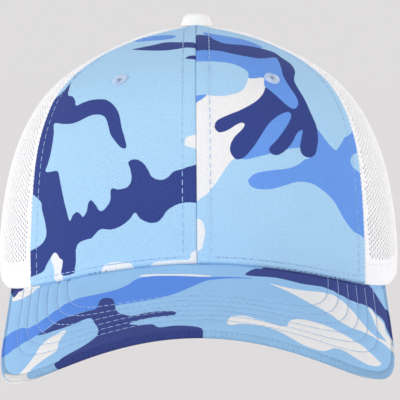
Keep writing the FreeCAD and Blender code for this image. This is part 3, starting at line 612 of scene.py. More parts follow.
PRINT_VISOR = json.loads('''{"navy":[[[-79.1,-38.7],[-74.1,-52.8],[-77.2,-54.9],[-80.0,-56.7],[-82.7,-37.0]],[[-40.7,-122.3],[-40.3,-119.5],[-38.8,-117.9],[-35.5,-120.8],[-34.0,-125.9],[-33.0,-134.4],[-30.8,-139.8],[-26.5,-144.4],[-20.3,-144.3],[-12.5,-145.2],[-9.9,-146.2],[-8.2,-148.8],[-10.9,-150.7],[-17.6,-149.9],[-23.7,-150.4],[-27.3,-152.1],[-22.6,-155.3],[-18.0,-156.9],[-14.9,-161.0],[-9.7,-161.0],[-4.6,-161.8],[1.4,-164.0],[2.6,-168.3],[1.4,-176.0],[-7.0,-179.2],[-15.1,-180.1],[-34.0,-182.6],[-55.5,-176.6],[-57.1,-165.2],[-56.2,-162.6],[-52.2,-160.9],[-46.1,-159.5],[-41.1,-155.7],[-39.8,-149.2],[-41.6,-140.7],[-43.7,-133.7],[-49.3,-132.3],[-54.5,-131.3],[-60.0,-127.9],[-66.1,-122.5],[-61.3,-122.2],[-57.7,-120.6],[-51.8,-122.4],[-44.3,-125.4],[-41.6,-126.0]],[[20.1,-105.9],[23.6,-99.0],[31.2,-91.4],[44.4,-81.7],[49.9,-78.0],[55.5,-74.5],[61.0,-72.4],[66.1,-68.8],[71.8,-61.6],[74.8,-57.3],[76.1,-62.3],[80.0,-72.0],[81.6,-72.5],[83.1,-102.0],[81.0,-100.2],[79.3,-93.5],[78.6,-87.7],[75.4,-86.1],[72.8,-84.8],[65.5,-90.9],[60.1,-92.2],[54.8,-92.5],[49.3,-96.4],[43.8,-99.9],[33.1,-102.7],[23.5,-106.4]]],"white":[[[-72.4,-54.7],[-67.5,-60.3],[-69.0,-68.5],[-72.3,-69.4],[-77.0,-65.6],[-80.2,-60.1],[-80.1,-55.5],[-74.1,-52.8]],[[-53.6,-134.9],[-56.1,-143.2],[-56.8,-150.9],[-61.8,-152.6],[-66.9,-154.7],[-68.8,-157.7],[-67.6,-164.3],[-71.1,-163.2],[-76.6,-147.5],[-78.8,-136.9],[-72.9,-149.4],[-69.8,-148.7],[-66.5,-143.2],[-63.3,-135.5],[-58.6,-133.5]],[[29.8,-110.4],[38.3,-109.6],[46.3,-105.1],[51.7,-100.5],[57.3,-96.7],[61.4,-98.3],[65.5,-102.7],[69.4,-109.5],[74.0,-113.0],[80.6,-107.3],[82.9,-108.9],[83.4,-114.2],[76.0,-114.4],[69.6,-117.0],[61.5,-121.8],[53.8,-118.9],[46.0,-117.1],[38.2,-113.6],[30.8,-111.0]],[[72.2,-85.9],[74.8,-88.0],[78.4,-91.4],[79.0,-99.4],[81.4,-103.2],[79.5,-108.6],[75.6,-103.4],[73.7,-94.7]],[[12.3,-155.9],[14.2,-151.0],[18.8,-148.9],[23.4,-149.6],[30.0,-151.0],[33.6,-151.2],[36.5,-149.1],[37.4,-143.9],[39.6,-140.2],[44.3,-136.2],[49.5,-134.7],[55.8,-133.2],[62.6,-133.0],[68.8,-133.5],[73.8,-137.3],[75.0,-138.1],[72.9,-144.0],[69.5,-148.9],[64.9,-150.7],[59.2,-150.1],[55.6,-152.3],[52.8,-157.4],[50.7,-160.8],[47.0,-162.8],[42.0,-162.6],[36.0,-158.9],[29.4,-155.9],[23.3,-155.9],[18.2,-157.1],[14.1,-159.5],[12.5,-159.0]],[[-22.4,-104.6],[-9.2,-108.5],[4.6,-110.9],[4.6,-112.8],[-9.2,-111.1],[-22.3,-106.7]]],"mid":[[[-82.4,-98.1],[-79.9,-96.5],[-77.7,-97.6],[-74.2,-100.9],[-70.4,-107.6],[-66.2,-109.3],[-61.0,-108.3],[-55.7,-106.5],[-50.3,-107.1],[-42.2,-111.1],[-34.1,-113.4],[-28.9,-111.6],[-22.3,-107.1],[1.2,-112.4],[23.5,-109.0],[9.1,-114.1],[4.4,-116.2],[1.3,-119.2],[-4.9,-125.4],[-10.1,-129.7],[-17.9,-131.9],[-25.8,-131.3],[-33.7,-129.4],[-41.9,-126.4],[-49.7,-122.9],[-57.7,-120.6],[-65.5,-122.2],[-73.7,-119.4],[-81.3,-115.7]]],"light":[[[-15.6,-172.3],[-13.7,-171.0],[-10.6,-172.8],[-11.2,-175.5],[-14.4,-174.6]]]}''')


def rounded(Q, n=5):
    """Closed Catmull-Rom curve through the outline's points."""
    P0, P1, P2, P3 = np.roll(Q, 1, 0), Q, np.roll(Q, -1, 0), np.roll(Q, -2, 0)
    out = []
    for k in range(n):
        t = k / n
        out.append(.5 * (2 * P1 + (P2 - P0) * t + (2 * P0 - 5 * P1 + 4 * P2 - P3) * t * t + (3 * P1 - 3 * P2 + P3 - P0) * t ** 3))
    return np.stack(out, 1).reshape(-1, 2)


def inside_distance(P, polys):
    """Distance in mm from the nearest outline: positive inside, negative outside."""
    best = np.full(len(P), -60.0)
    x, y = P[:, 0], P[:, 1]
    for Q in polys:
        Q = rounded(np.asarray(Q, float))
        d2 = np.full(len(P), 1e9)
        odd = np.zeros(len(P), bool)
        for (x0, y0), (x1, y1) in zip(Q, np.roll(Q, -1, 0)):
            ex, ey = x1 - x0, y1 - y0
            l2 = ex * ex + ey * ey
            if l2 < 1e-12:
                continue
            t = np.clip(((x - x0) * ex + (y - y0) * ey) / l2, 0, 1)
            d2 = np.minimum(d2, (x - x0 - t * ex) ** 2 + (y - y0 - t * ey) ** 2)
            if y0 != y1:
                cross = ((y0 > y) != (y1 > y)) & (x < x0 + (y - y0) / (y1 - y0) * ex)
                odd ^= cross
        best = np.maximum(best, np.where(odd, 1, -1) * np.sqrt(d2))
    return best


def flat_crown(th, u):
    """Unrolled place of a crown point: distance round from the front centre, distance up from the hem."""
    th, u = np.broadcast_arrays(np.asarray(th, float), np.asarray(u, float))
    K = 20
    t = np.linspace(0, 1, K + 1)
    p = crown0(th[..., None] * t, np.broadcast_to(u[..., None], th.shape + (K + 1,)))
    a = np.linalg.norm(np.diff(p, axis=-2), axis=-1).sum(-1) * np.sign(th)
    q = crown0(np.broadcast_to(th[..., None], th.shape + (K + 1,)), u[..., None] * t)
    b = np.linalg.norm(np.diff(q, axis=-2), axis=-1).sum(-1) * np.sign(u)
    return np.stack([a, b], -1)


def ink(P, pattern, to_flat):
    out = {}
    for key in ("white", "mid", "light", "navy"):
        polys = [to_flat(np.array(q, float)) for q in pattern[key]]
        out["ink_" + key] = inside_distance(P, polys) if polys else np.full(len(P), -60.0)
    return out


# ------------------------------------------------------------------ front panels
GAP = .05


def bump_at(d, c, w):
    return np.exp(-((d - c) / w) ** 2)


def front_lift(dc, ds, dh, a, b):
    """How far the cloth stands off the CAD surface: seam allowances, stitch grooves, rolled edges, unevenness."""
    up = .28 * (1 - smooth01((dc - 5.6) / 1.6)) - .26 * bump_at(dc, 5.4, .6) - .42 * np.exp(-(dc / .45) ** 2)
    up += .28 * (1 - smooth01((ds - 5.6) / 1.6)) - .28 * bump_at(ds, 5.4, .6) - .45 * np.exp(-(ds / .5) ** 2)
    up += .30 * (1 - smooth01((dh - 3.6) / 1.6)) - .24 * bump_at(dh, 3.0, .55) - .8 * np.exp(-(dh / .6) ** 2)
    pucker = np.sin(2 * np.pi * b / 3.6)
    up += .05 * pucker * bump_at(dc, 4.2, 1.7) + .05 * pucker * bump_at(ds, 4.2, 1.7)
    up += .05 * np.sin(2 * np.pi * a / 3.6) * bump_at(dh, 2.6, 1.5)
    up += waves(a, b, .10, 26.0, 5) * smooth01(dh / 8)
    return up


def front_grid(sign):
    na, nu = 132, 226
    u, L = arc_levels(rad(26.0), 0.0, UT, nu)
    u = u[:, None] * np.ones(na + 1)
    f = np.linspace(0, 1, na + 1)[None]
    # closer rows beside both seams
    f = f + .02 * np.sin(2 * np.pi * f) * -1
    c0 = GAP / radius_at(np.zeros_like(u), u)
    c1 = seam_front(u) - GAP / radius_at(seam_front(u), u)
    th = c0 + (c1 - c0) * f
    return th * sign, u


EYE_TH, EYE_U = rad(29.2), .559
front_parts = {}
for side, sign, pattern in (("right", 1, PRINT_RIGHT), ("left", -1, PRINT_LEFT)):
    th, u = front_grid(sign)
    p0 = crown0(th, u)
    seg = np.linalg.norm(np.diff(p0, axis=1), axis=2)
    dc = np.concatenate([np.zeros((len(u), 1)), np.cumsum(seg, 1)], 1)
    ds = dc[:, -1:] - dc
    segv = np.linalg.norm(np.diff(p0, axis=0), axis=2)
    dh = np.concatenate([np.zeros((1, p0.shape[1])), np.cumsum(segv, 0)], 0)
    fl = flat_crown(th, u)
    lift = front_lift(dc, ds, dh, fl[..., 0], fl[..., 1])
    # the eyelet pulls the cloth in
    eye = crown0(np.array(EYE_TH * sign), np.array(EYE_U))
    de = np.linalg.norm(p0 - eye, axis=2)
    lift = lift - .35 * np.exp(-(de / 4.2) ** 2)
    outer = crown(th, u, -lift)
    # keep the lower edge out of the visor's root
    inner = crown(th, u, .6 - np.minimum(0, 0 * lift))
    F = grid_faces(*th.shape)
    if sign > 0:
        pass
    else:
        F = F[:, ::-1]
    # eyelet opening
    cen = de.ravel()[F].mean(1)
    F = F[cen > 1.25]
    P = fl.reshape(-1, 2)
    at = ink(P, pattern, lambda q: flat_crown(rad(q[:, 0]), q[:, 1]))
    ob = shell("front_panel_cloth_" + side, outer.reshape(-1, 3), inner.reshape(-1, 3), [F], P, None, at)
    place(ob, m_print, ["front_panel_" + side])
    # buckram behind
    thb, ub = th[::3, ::3], u[::3, ::3]
    flb = fl[::3, ::3].reshape(-1, 2)
    deb = de[::3, ::3]
    Fb = grid_faces(*thb.shape)
    if sign < 0:
        Fb = Fb[:, ::-1]
    Fb = Fb[deb.ravel()[Fb].mean(1) > 2.2]
    hb = np.maximum(0, 2.2 - dh[::3, ::3])
    ob = shell("front_buckram_sheet_" + side, crown(thb, ub, .72).reshape(-1, 3), crown(thb, ub, 1.5 + waves(flb[:, 0], flb[:, 1], .03, 9, 2).reshape(thb.shape)).reshape(-1, 3), [Fb], flb)
    place(ob, m_buck, ["front_buckram_" + side])

# ------------------------------------------------------------------ rows of stitches on the crown
crown_thread, crown_hole_shade, joint_thread, overcast = Bag(), Bag(), Bag(), Bag()


def crown_row(fn, off, u0, u1, lift_fn, n=400):
    """Path beside a seam, off mm round from it."""
    u = np.linspace(u0, u1, n)
    t0 = fn(u)
    th = t0 + off / radius_at(t0, u)
    q = crown0(th, u)
    d = np.concatenate([[0], np.cumsum(np.linalg.norm(np.diff(q, axis=0), axis=1))])
    return crown(th, u, -lift_fn(th, u, d)), crown_n(th, u)


top_u = .945
for s in (-1, 1):
    fl_ = lambda th, u, d: front_lift(np.full_like(u, 5.4), np.full_like(u, 40.), flat_crown(th, u)[:, 1], flat_crown(th, u)[:, 0], flat_crown(th, u)[:, 1])
    P, N = crown_row(lambda u: 0 * u, 5.4 * s, .035, top_u, fl_)
    hole_shade_at(crown_hole_shade, stitches(crown_thread, P, N, 3.6, 3.0, .2, seed=4 + s))
    fs_ = lambda th, u, d: front_lift(np.full_like(u, 40.), np.full_like(u, 5.4), flat_crown(th, u)[:, 1], flat_crown(th, u)[:, 0], flat_crown(th, u)[:, 1])
    P, N = crown_row(lambda u, s=s: s * seam_front(u), -5.4 * s, .035, top_u, fs_)
    hole_shade_at(crown_hole_shade, stitches(crown_thread, P, N, 3.6, 3.0, .2, seed=14 + s))
    # hem row, 3 mm up, from the side seam to the centre seam
    th = np.linspace(rad(1.0), rad(52.4), 240) * s
    u = u_at_z(th, hem_z(th) + 2.9)
    fh = front_lift(np.full_like(u, 40.), np.full_like(u, 40.), np.full_like(u, 3.0), flat_crown(th, u)[:, 0], flat_crown(th, u)[:, 1])
    P, N = crown(th, u, -fh), crown_n(th, u)
    hole_shade_at(crown_hole_shade, stitches(crown_thread, P, N, 3.5, 2.9, .21, seed=24 + s), (.5, .28))
    # joining stitches that show in the gap between crown and visor
    for lo, hi in ((20.0, 43.8),) if s > 0 else ((23.2, 31.0),):
        th = np.linspace(rad(lo), rad(hi), 200) * s
        P = crown(th, u_at_z(th, hem_z(th) + .55), -.12)
        N = unit(crown_n(th, u_at_z(th, hem_z(th) + .55)) + np.array([0, 0, -.4]))
        stitches(joint_thread, P, N, 2.7, 1.25, .15, lift=.3, seed=34 + s)
    # overcast stitches over the edge between cloth and mesh
    u, L = arc_levels(rad(56), .012, .93, int(142 / 1.8))
    t0 = s * seam_front(u)
    rr = radius_at(t0, u)
    a, b = crown(t0 - s * .55 / rr, u, -.02), crown(t0 + s * .75 / rr, u, .0)
    nn = crown_n(t0, u)
    for k in range(len(u)):
        pp = np.stack([a[k] + (b[k] - a[k]) * t for t in np.linspace(0, 1, 5)])
        stitches(overcast, np.concatenate([pp]), np.repeat(nn[k][None], 5, 0), 1.0, 1.1, .13, lift=.9, sides=5, start=.6, seed=k)
place(crown_thread.make("crown_topstitching"), m_thread)
# painted shade: dark lenses at the crown's needle holes
place(crown_hole_shade.make("crown_needle_hole_shade"), m_hole_shade)
place(joint_thread.make("visor_joining_stitches"), m_navy_thread)
place(overcast.make("side_seam_overcasting"), m_thread)


# ------------------------------------------------------------------ mesh panels
def panel_table(left, right, nv=170, nx=72):
    um, _ = arc_levels(float((left(.3) + right(.3)) / 2), 0.0, UT, nv)
    pm = crown0((left(um) + right(um)) / 2, um)
    v = np.concatenate([[0], np.cumsum(np.linalg.norm(np.diff(pm, axis=0), axis=1))])
    TH = np.zeros((nv + 1, nx + 1))
    W = np.zeros(nv + 1)
    for k in range(nv + 1):
        t = np.linspace(left(um[k]), right(um[k]), 120)
        p = crown0(t, np.full_like(t, um[k]))
        s = np.concatenate([[0], np.cumsum(np.linalg.norm(np.diff(p, axis=0), axis=1))])
        W[k] = s[-1]
        TH[k] = np.interp(np.linspace(0, s[-1], nx + 1), s, t)
    return um, v, TH, W, nv, nx


def arch_gap(x, z, y):
    """How far outside the rear arch a point is, in mm: negative inside the opening."""
    w, r, z0 = 46.0, 34.0, 20.0
    zz = np.maximum(0, z - z0)
    k = np.hypot(x / w, zz / r)
    g = (k - 1) * np.minimum(w, np.hypot(x, zz) / np.maximum(k, 1e-6))
    return np.where(y > 0, np.where(z < z0, np.abs(x) - w, g), 99.0)


def mesh_panel(name, left, right, mirror, node, arch=False):
    um, v, TH, W, nv, nx = panel_table(left, right)
    H = v[-1]
    p = 2.1
    R = p / math.sqrt(3)
    dx = 1.5 * R
    ni, nj = int(W.max() / 2 / dx) + 2, int(H / p) + 2
    ii, jj = np.meshgrid(np.arange(-ni, ni + 1), np.arange(-1, nj + 1), indexing="ij")
    ca = ii * dx
    cv = jj * p + (ii % 2) * p / 2 + .3
    cen = np.stack([ca.ravel(), cv.ravel()], -1)
    half = lambda vv: np.interp(vv, v, W) / 2
    inx = half(cen[:, 1]) - np.abs(cen[:, 0])
    keep = (inx > -R) & (cen[:, 1] > -p * .6) & (cen[:, 1] < H + p * .3)
    cen = cen[keep]
    ang = rad(np.arange(12) * 30.0)
    cor = np.array([[R, 0], [R * .75, p / 4], [R / 2, p / 2], [0, p / 2], [-R / 2, p / 2], [-R * .75, p / 4], [-R, 0], [-R * .75, -p / 4], [-R / 2, -p / 2], [0, -p / 2], [R / 2, -p / 2], [R * .75, -p / 4]])
    out = cen[:, None] + cor[None]
    key = np.round(out / (R / 4) * 64).astype(np.int64).reshape(-1, 2)
    # weld shared corners
    kk = np.round(out.reshape(-1, 2) * 50).astype(np.int64)
    code = kk[:, 0] * 1000003 + kk[:, 1]
    uq, first, inv = np.unique(code, return_index=True, return_inverse=True)
    inv = inv.reshape(-1)
    bv = out.reshape(-1, 2)[first]
    corner = np.tile(np.arange(12) % 2 == 0, len(cen))[first]
    is_corner = np.tile(np.isin(np.arange(12), [0, 2, 4, 6, 8, 10]), len(cen))[first]

    def clamp(Q):
        vv = np.clip(Q[:, 1], 0, H)
        h = half(vv)
        d = np.minimum(np.minimum(h - np.abs(Q[:, 0]), Q[:, 1]), H - Q[:, 1])
        return np.stack([np.clip(Q[:, 0], -h, h), vv], -1), d

    def to_par(Q):
        vv = Q[:, 1]
        w = np.interp(vv, v, W)
        q = np.clip(Q[:, 0] / np.maximum(w, 1e-6) + .5, 0, 1) * nx
        r = np.interp(vv, v, np.arange(nv + 1))
        r0 = np.clip(r.astype(int), 0, nv - 1)
        q0 = np.clip(q.astype(int), 0, nx - 1)
        fr, fq = r - r0, q - q0
        t = (TH[r0, q0] * (1 - fq) + TH[r0, q0 + 1] * fq) * (1 - fr) + (TH[r0 + 1, q0] * (1 - fq) + TH[r0 + 1, q0 + 1] * fq) * fr
        return t, np.interp(vv, v, um)

    bq, bd = clamp(bv)
    _, cd = clamp(cen)
    tc, uc = to_par(np.stack([np.clip(cen[:, 0], -half(cen[:, 1]), half(cen[:, 1])), np.clip(cen[:, 1], 0, H)], -1))
    pc = crown0(tc, uc)
    # the turned-in edge along the front seam stays closed, wider near the top
    edge_d = half(cen[:, 1]) + cen[:, 0]
    hole = (cd > 3.6) & (cen[:, 1] > 10.6) & (arch | (edge_d > 3.6 + 6.4 * smooth01((uc - .56) / .22)))
    rh = np.where(hole, 1.0, .45)
    ring = cen[:, None] + np.stack([np.cos(ang) * .31, np.sin(ang) * .39], -1)[None] * rh[:, None, None]
    rq, _ = clamp(ring.reshape(-1, 2))
    nb, nr_ = len(bq), len(rq)
    tb, ub = to_par(bq)
    tr, ur = to_par(rq)
    cc = np.stack([tc, uc], -1)
    nc = len(cen)
    bi = inv.reshape(nc, 12)
    ri = nb + np.arange(nc * 12).reshape(nc, 12)
    ci = nb + nr_ + np.arange(nc)
    th = np.concatenate([tb, tr, tc])
    uu = np.concatenate([ub, ur, uc])
    edge_roll = .45 * np.exp(-np.maximum(0, bd) / .7)
    jit = waves(bv[:, 0], bv[:, 1], .05, 7.0, 9)
    d_out = np.concatenate([np.where(is_corner, .0, .08) + edge_roll + jit * .5, np.full(nr_, .24), np.where(hole, .25, .10)])
    d_in = np.concatenate([np.where(is_corner, .9, .82) - edge_roll * .2, np.full(nr_, .46), np.where(hole, .25, .7)])
    hh = np.repeat(hole, 12)
    d_out[nb:nb + nr_] = np.where(hh, .26, .09)
    d_in[nb:nb + nr_] = np.where(hh, .26, .78)
    quads = np.stack([bi, np.roll(bi, -1, 1), np.roll(ri, -1, 1), ri], -1).reshape(-1, 4)
    sol = ~hole
    tris = np.stack([ri[sol], np.roll(ri[sol], -1, 1), np.broadcast_to(ci[sol][:, None], ri[sol].shape)], -1).reshape(-1, 3)
    if arch:
        p0 = crown0(th, uu)
        g = arch_gap(p0[:, 0], p0[:, 2], p0[:, 1])
        ok = g > .35
        cell_ok = ok[bi].all(1)
        quads = quads.reshape(nc, 12, 4)[cell_ok].reshape(-1, 4)
        tris = tris[ok[tris].all(1)]
    # drop collapsed faces
    Qf = np.concatenate([bq, rq, np.clip(cen, [-1e9, 0], [1e9, H])])
    def area(f):
        q = Qf[f]
        x, y = q[..., 0], q[..., 1]
        return .5 * np.abs((x * np.roll(y, -1, 1) - np.roll(x, -1, 1) * y).sum(1))
    quads = quads[area(quads) > .004]
    tris = tris[area(tris) > .002]
    s = -1 if mirror else 1
    outer, inner = crown(th * s, uu, d_out), crown(th * s, uu, d_in)
    weld = np.concatenate([np.zeros(nb, bool), hh, np.zeros(nc, bool)])
    if mirror:
        quads, tris = quads[:, ::-1], tris[:, ::-1]
    ob = shell(name, outer, inner, [quads, tris], Qf, weld)
    return place(ob, m_mesh, [node])


def off_seam(fn, side):
    return lambda u: fn(np.asarray(u, float)) + side * GAP / radius_at(fn(np.asarray(u, float)), np.asarray(u, float))


for side, mir in (("right", False), ("left", True)):
    mesh_panel("side_mesh_knit_" + side, off_seam(seam_front, 1), off_seam(seam_back, -1), mir, "side_mesh_" + side)
    mesh_panel("back_mesh_knit_" + side, off_seam(seam_back, 1), off_seam(lambda u: np.pi + 0 * u, -1), mir, "back_mesh_" + side, True)

# ------------------------------------------------------------------ tapes, hem tape
tape_thread, mesh_thread = Bag(), Bag()


def strip(name, fn, depth, u0, u1, node, half=6.0, mirror=False, n=110, nc=10):
    s = -1 if mirror else 1
    u = np.linspace(u0, u1, n + 1)[:, None] * np.ones(nc + 1)
    c = np.linspace(-half, half, nc + 1)[None] * np.ones((n + 1, 1))
    t0 = fn(u)
    th = t0 + c / radius_at(t0, u)
    q = crown0(th, u)
    d = np.concatenate([np.zeros((1, nc + 1)), np.cumsum(np.linalg.norm(np.diff(q, axis=0), axis=2), 0)], 0)
    edge = np.abs(c) / half
    puff = .5 - .22 * edge ** 6 - .16 * bump_at(np.abs(c), 4.4, .8) + .03 * np.sin(d / .6) * (1 - edge)
    outer = crown(th * s, u, depth + .02)
    inner = crown(th * s, u, depth + np.maximum(.12, puff))
    F = grid_faces(n + 1, nc + 1)
    if s < 0:
        F = F[:, ::-1]
    ob = shell(name, outer.reshape(-1, 3), inner.reshape(-1, 3), [F], np.stack([c.ravel(), d.ravel()], -1))
    place(ob, m_tape, [node])
    for off in (-4.4, 4.4):
        uu = np.linspace(u0 + .01, u1 - .01, 300)
        t = fn(uu)
        t = (t + off / radius_at(t, uu)) * s
        stitches(tape_thread, crown(t, uu, depth + .36), -crown_n(t, uu), 3.2, 2.5, .2, seed=int(off * 3) + 60)
    return ob


front_depth, rear_depth = 1.6, 1.0
high = .885
low_f = float(u_at_z(np.array(0.0), ZF + 33.0))
low_s = float(u_at_z(np.array(seam_front(.2)), hem_z(seam_front(.2)) + 1.0))
low_b = float(u_at_z(np.array(seam_back(.1)), 11.5))
low_c = float(u_at_z(np.array(np.pi), 65.5))
strip("tape_centre_front", lambda u: 0 * u, front_depth, low_f * .2, high, "seam_tape_centre_front")
strip("tape_centre_back", lambda u: np.pi + 0 * u, rear_depth, low_c, high, "seam_tape_centre_back")
for side, mir in (("right", False), ("left", True)):
    strip("tape_front_" + side, seam_front, front_depth, low_s + .012, .86, "seam_tape_front_" + side, mirror=mir)
    strip("tape_back_" + side, seam_back, rear_depth, low_b, high, "seam_tape_back_" + side, mirror=mir)


def belt(a0, a1, z0, z1, nth, nz):
    th = rad(np.linspace(a0, a1, nth + 1))
    lo = np.array([z0(t) if callable(z0) else z0 for t in th])
    ua, ub = u_at_z(th, hem_z(th) + lo), u_at_z(th, hem_z(th) + z1)
    s = np.linspace(0, 1, nz + 1)
    T = np.broadcast_to(th[:, None], (nth + 1, nz + 1))
    U = ua[:, None] + (ub - ua)[:, None] * s
    p = crown0(T, U)
    a = np.concatenate([np.zeros((1, nz + 1)), np.cumsum(np.linalg.norm(np.diff(p, axis=0), axis=2), 0)], 0)
    b = np.concatenate([np.zeros((nth + 1, 1)), np.cumsum(np.linalg.norm(np.diff(p, axis=1), axis=2), 1)], 1)
    return T, U, a[:, nz // 2][:, None] * np.ones(nz + 1), b


start = math.degrees(float(seam_front(.05))) + 5.0
for side, s in (("right", 1), ("left", -1)):
    T, U, a, b = belt(start, 141.0, .4, 10.0, 150, 8)
    e = np.abs(b / b[:, -1:] * 2 - 1)
    inner = crown(T * s, U, rear_depth + .5 - .25 * e ** 6 + .03 * np.sin(a / .7))
    outer = crown(T * s, U, rear_depth + .02)
    F = grid_faces(*T.shape)[:, ::-1]
    if s < 0:
        F = F[:, ::-1]
    ob = shell("hem_tape_band_" + side, outer.reshape(-1, 3), inner.reshape(-1, 3), [F], np.stack([a.ravel(), b.ravel()], -1))
    place(ob, m_tape, ["hem_tape_" + side])
    for zz in (2.0, 8.6):
        th = np.linspace(rad(start + 1), rad(140), 500) * s
        uu = u_at_z(th, hem_z(th) + zz)
        stitches(tape_thread, crown(th, uu, rear_depth + .42), -crown_n(th, uu), 3.2, 2.5, .2, seed=int(zz) + 80)
    # rows that show on the outside of the mesh beside the back seams
    for off in (-4.6, 4.6):
        uu = np.linspace(.03, .93, 420)
        t = seam_back(uu)
        t = (t + off / radius_at(t, uu)) * s
        stitches(mesh_thread, crown(t, uu, .0), crown_n(t, uu), 3.4, 2.8, .21, lift=.6, seed=90 + int(off) + s)
    uu = np.linspace(low_c, .93, 300)
    t = np.pi + 4.6 * s / radius_at(np.full_like(uu, np.pi), uu)
    stitches(mesh_thread, crown(t, uu, .0), crown_n(t, uu), 3.4, 2.8, .21, lift=.6, seed=95 + s)

# ------------------------------------------------------------------ sweatband and its pad


def band_low(th):
    k = smooth01((abs(math.degrees(th)) - 58.0) / 16.0)
    return .3 - 3.0 * (1 - k)


T, U, a, b = belt(-141.0, 141.0, band_low, 32.0, 320, 30)
e = b / b[:, -1:]
roll = .38 * np.exp(-((1 - e) * 32 / .8) ** 2) + .3 * np.exp(-(e * 32 / .8) ** 2)
ribs = waves(a, b, .06, 11.0, 21)
seamline = .22 * bump_at(b, 4.0, .7) + .18 * bump_at((1 - e) * b[:, -1:], 2.6, .7)
outer = crown(T, U, 2.9 + roll)
inner = crown(T, U, 4.02 - roll + ribs * .8 - seamline * .7)
ob = shell("sweatband_folded", outer.reshape(-1, 3), inner.reshape(-1, 3), [grid_faces(*T.shape)[:, ::-1]], np.stack([a.ravel(), b.ravel()], -1))
place(ob, m_band, ["sweatband"])
band_thread = Bag()
for zz, dd in ((4.0, 3.85), (29.4, 3.88)):
    th = np.linspace(rad(-139.5), rad(139.5), 1500)
    lo = np.array([band_low(t) for t in th])
    uu = u_at_z(th, hem_z(th) + np.where(zz < 10, lo + zz, zz))
    stitches(band_thread, crown(th, uu, dd), -crown_n(th, uu), 3.4, 2.7, .22, lift=.7, seed=int(zz))
place(band_thread.make("sweatband_stitching"), m_white_thread)

T, U, a, b = belt(-56.0, 56.0, 1.0, 27.0, 150, 26)
e = b / b[:, -1:]
ea = a / a.max()
rim = np.minimum(np.minimum(e, 1 - e) * 26, np.minimum(ea, 1 - ea) * 180)
pf = 1 - np.exp(-rim / 1.6)
dim = waves(a, b, .05, 6.0, 31)
pad = shell("sweatband_foam_pad", crown(T, U, 2.52 - .30 * pf + dim * .4).reshape(-1, 3), crown(T, U, 2.52 + .30 * pf).reshape(-1, 3), [grid_faces(*T.shape)[:, ::-1]], np.stack([a.ravel(), b.ravel()], -1))
place(pad, m_foam, ["sweatband_front_pad"])

# ------------------------------------------------------------------ blank label
yy = np.linspace(-13, 13, 40)
zz = np.linspace(12, 26, 22)
th0 = np.pi / 2 + yy / A * 1.0
TT = np.broadcast_to(th0[:, None], (40, 22))
UU = u_at_z(TT, np.broadcast_to(zz[None], (40, 22)))
yg, zg = np.meshgrid(yy, zz, indexing="ij")
em = np.minimum(13 - np.abs(yg), np.minimum(zg - 12, 26 - zg))
curl = .10 * np.exp(-em / 1.2)
d0 = 4.32 + .16 * smooth01(em / 2.5) + waves(yg, zg, .05, 12, 41)
lab = shell("blank_label_satin", crown(TT, UU, d0).reshape(-1, 3), crown(TT, UU, d0 + .34 - curl).reshape(-1, 3), [grid_faces(40, 22)[:, ::-1]], np.stack([yg.ravel(), zg.ravel()], -1))
place(lab, m_label, ["blank_size_label"])
lt = Bag()
loop = np.array([(-12, 13), (12, 13), (12, 25), (-12, 25), (-12, 13)], float)
pts = np.concatenate([loop[k] + (loop[k + 1] - loop[k]) * np.linspace(0, 1, 60)[:, None] for k in range(4)])
tl = np.pi / 2 + pts[:, 0] / A
ul = u_at_z(tl, pts[:, 1])
stitches(lt, crown(tl, ul, 4.72), -crown_n(tl, ul), 2.2, 1.6, .14, lift=.6, seed=77)
place(lt.make("label_stitching"), m_white_thread)

# ------------------------------------------------------------------ rear arch binding


def back_point(x, z):
    """Crown azimuth and height for a place seen from the back."""
    x, z = np.asarray(x, float), np.asarray(z, float)
    th = np.pi - np.arcsin(np.clip(x / 95.0, -.95, .95))
    u = np.clip(z / 150.0, .01, .8)
    for _ in range(25):
        p = crown0(th, u)
        e = 1e-4
        pt, pu = (crown0(th + e, u) - p) / e, (crown0(th, u + e) - p) / e
        a11, a12, a21, a22 = pt[..., 0], pu[..., 0], pt[..., 2], pu[..., 2]
        det = a11 * a22 - a12 * a21
        rx, rz = x - p[..., 0], z - p[..., 2]
        dt = (rx * a22 - rz * a12) / det
        du = (a11 * rz - a21 * rx) / det
        th = th + np.clip(dt, -.2, .2)
        u = np.clip(u + np.clip(du, -.1, .1), -.03, .9)
    return th, u


def arch_curve(grow, n_side=26, n_top=90):
    w, r = 46.0 + grow, 34.0 + grow
    t = np.linspace(0, np.pi, n_top + 1)
    x = np.concatenate([np.full(n_side, w), w * np.cos(t), np.full(n_side, -w)])
    z = np.concatenate([np.linspace(1.6, 20, n_side, endpoint=False), 20 + r * np.sin(t), np.linspace(1.6, 20, n_side, endpoint=False)[::-1]])
    return x, z


ring = [(10.0, -.12), (9.9, -.45), (9.2, -.62), (8.2, -.58), (7.6, -.60), (6.0, -.70), (4.0, -.72), (2.0, -.70), (.6, -.72), (-.4, -.6), (-.85, -.2), (-1.0, .45), (-.85, 1.1), (-.4, 1.5),
        (.6, 1.62), (2.0, 1.60), (4.0, 1.62), (6.0, 1.60), (7.6, 1.5), (8.2, 1.48), (9.2, 1.52), (9.9, 1.35), (10.0, 1.04), (8.0, 1.0), (4.0, 1.0), (1.0, 1.0), (-.1, .9), (-.1, .0), (1.0, -.1), (4.0, -.1), (8.0, -.1)]
cols, nrms = [], []
for g, dpt in ring:
    x, z = arch_curve(g)
    th, u = back_point(x, z)
    q = np.arange(len(x))
    cols.append(crown(th, u, dpt + .035 * np.sin(q * 1.9) * (abs(g - 5) < 4.5)))
V = np.stack(cols, 1)
nr_, nc_ = V.shape[:2]
ids = np.arange(nr_ * nc_).reshape(nr_, nc_)
q = np.stack([ids[:-1], np.roll(ids[:-1], -1, 1), np.roll(ids[1:], -1, 1), ids[1:]], -1).reshape(-1, 4)
x, z = arch_curve(0)
run = np.concatenate([[0], np.cumsum(np.hypot(np.diff(x), np.diff(z)))])
gs = np.cumsum([0] + [math.hypot(ring[k + 1][0] - ring[k][0], ring[k + 1][1] - ring[k][1]) for k in range(len(ring) - 1)])
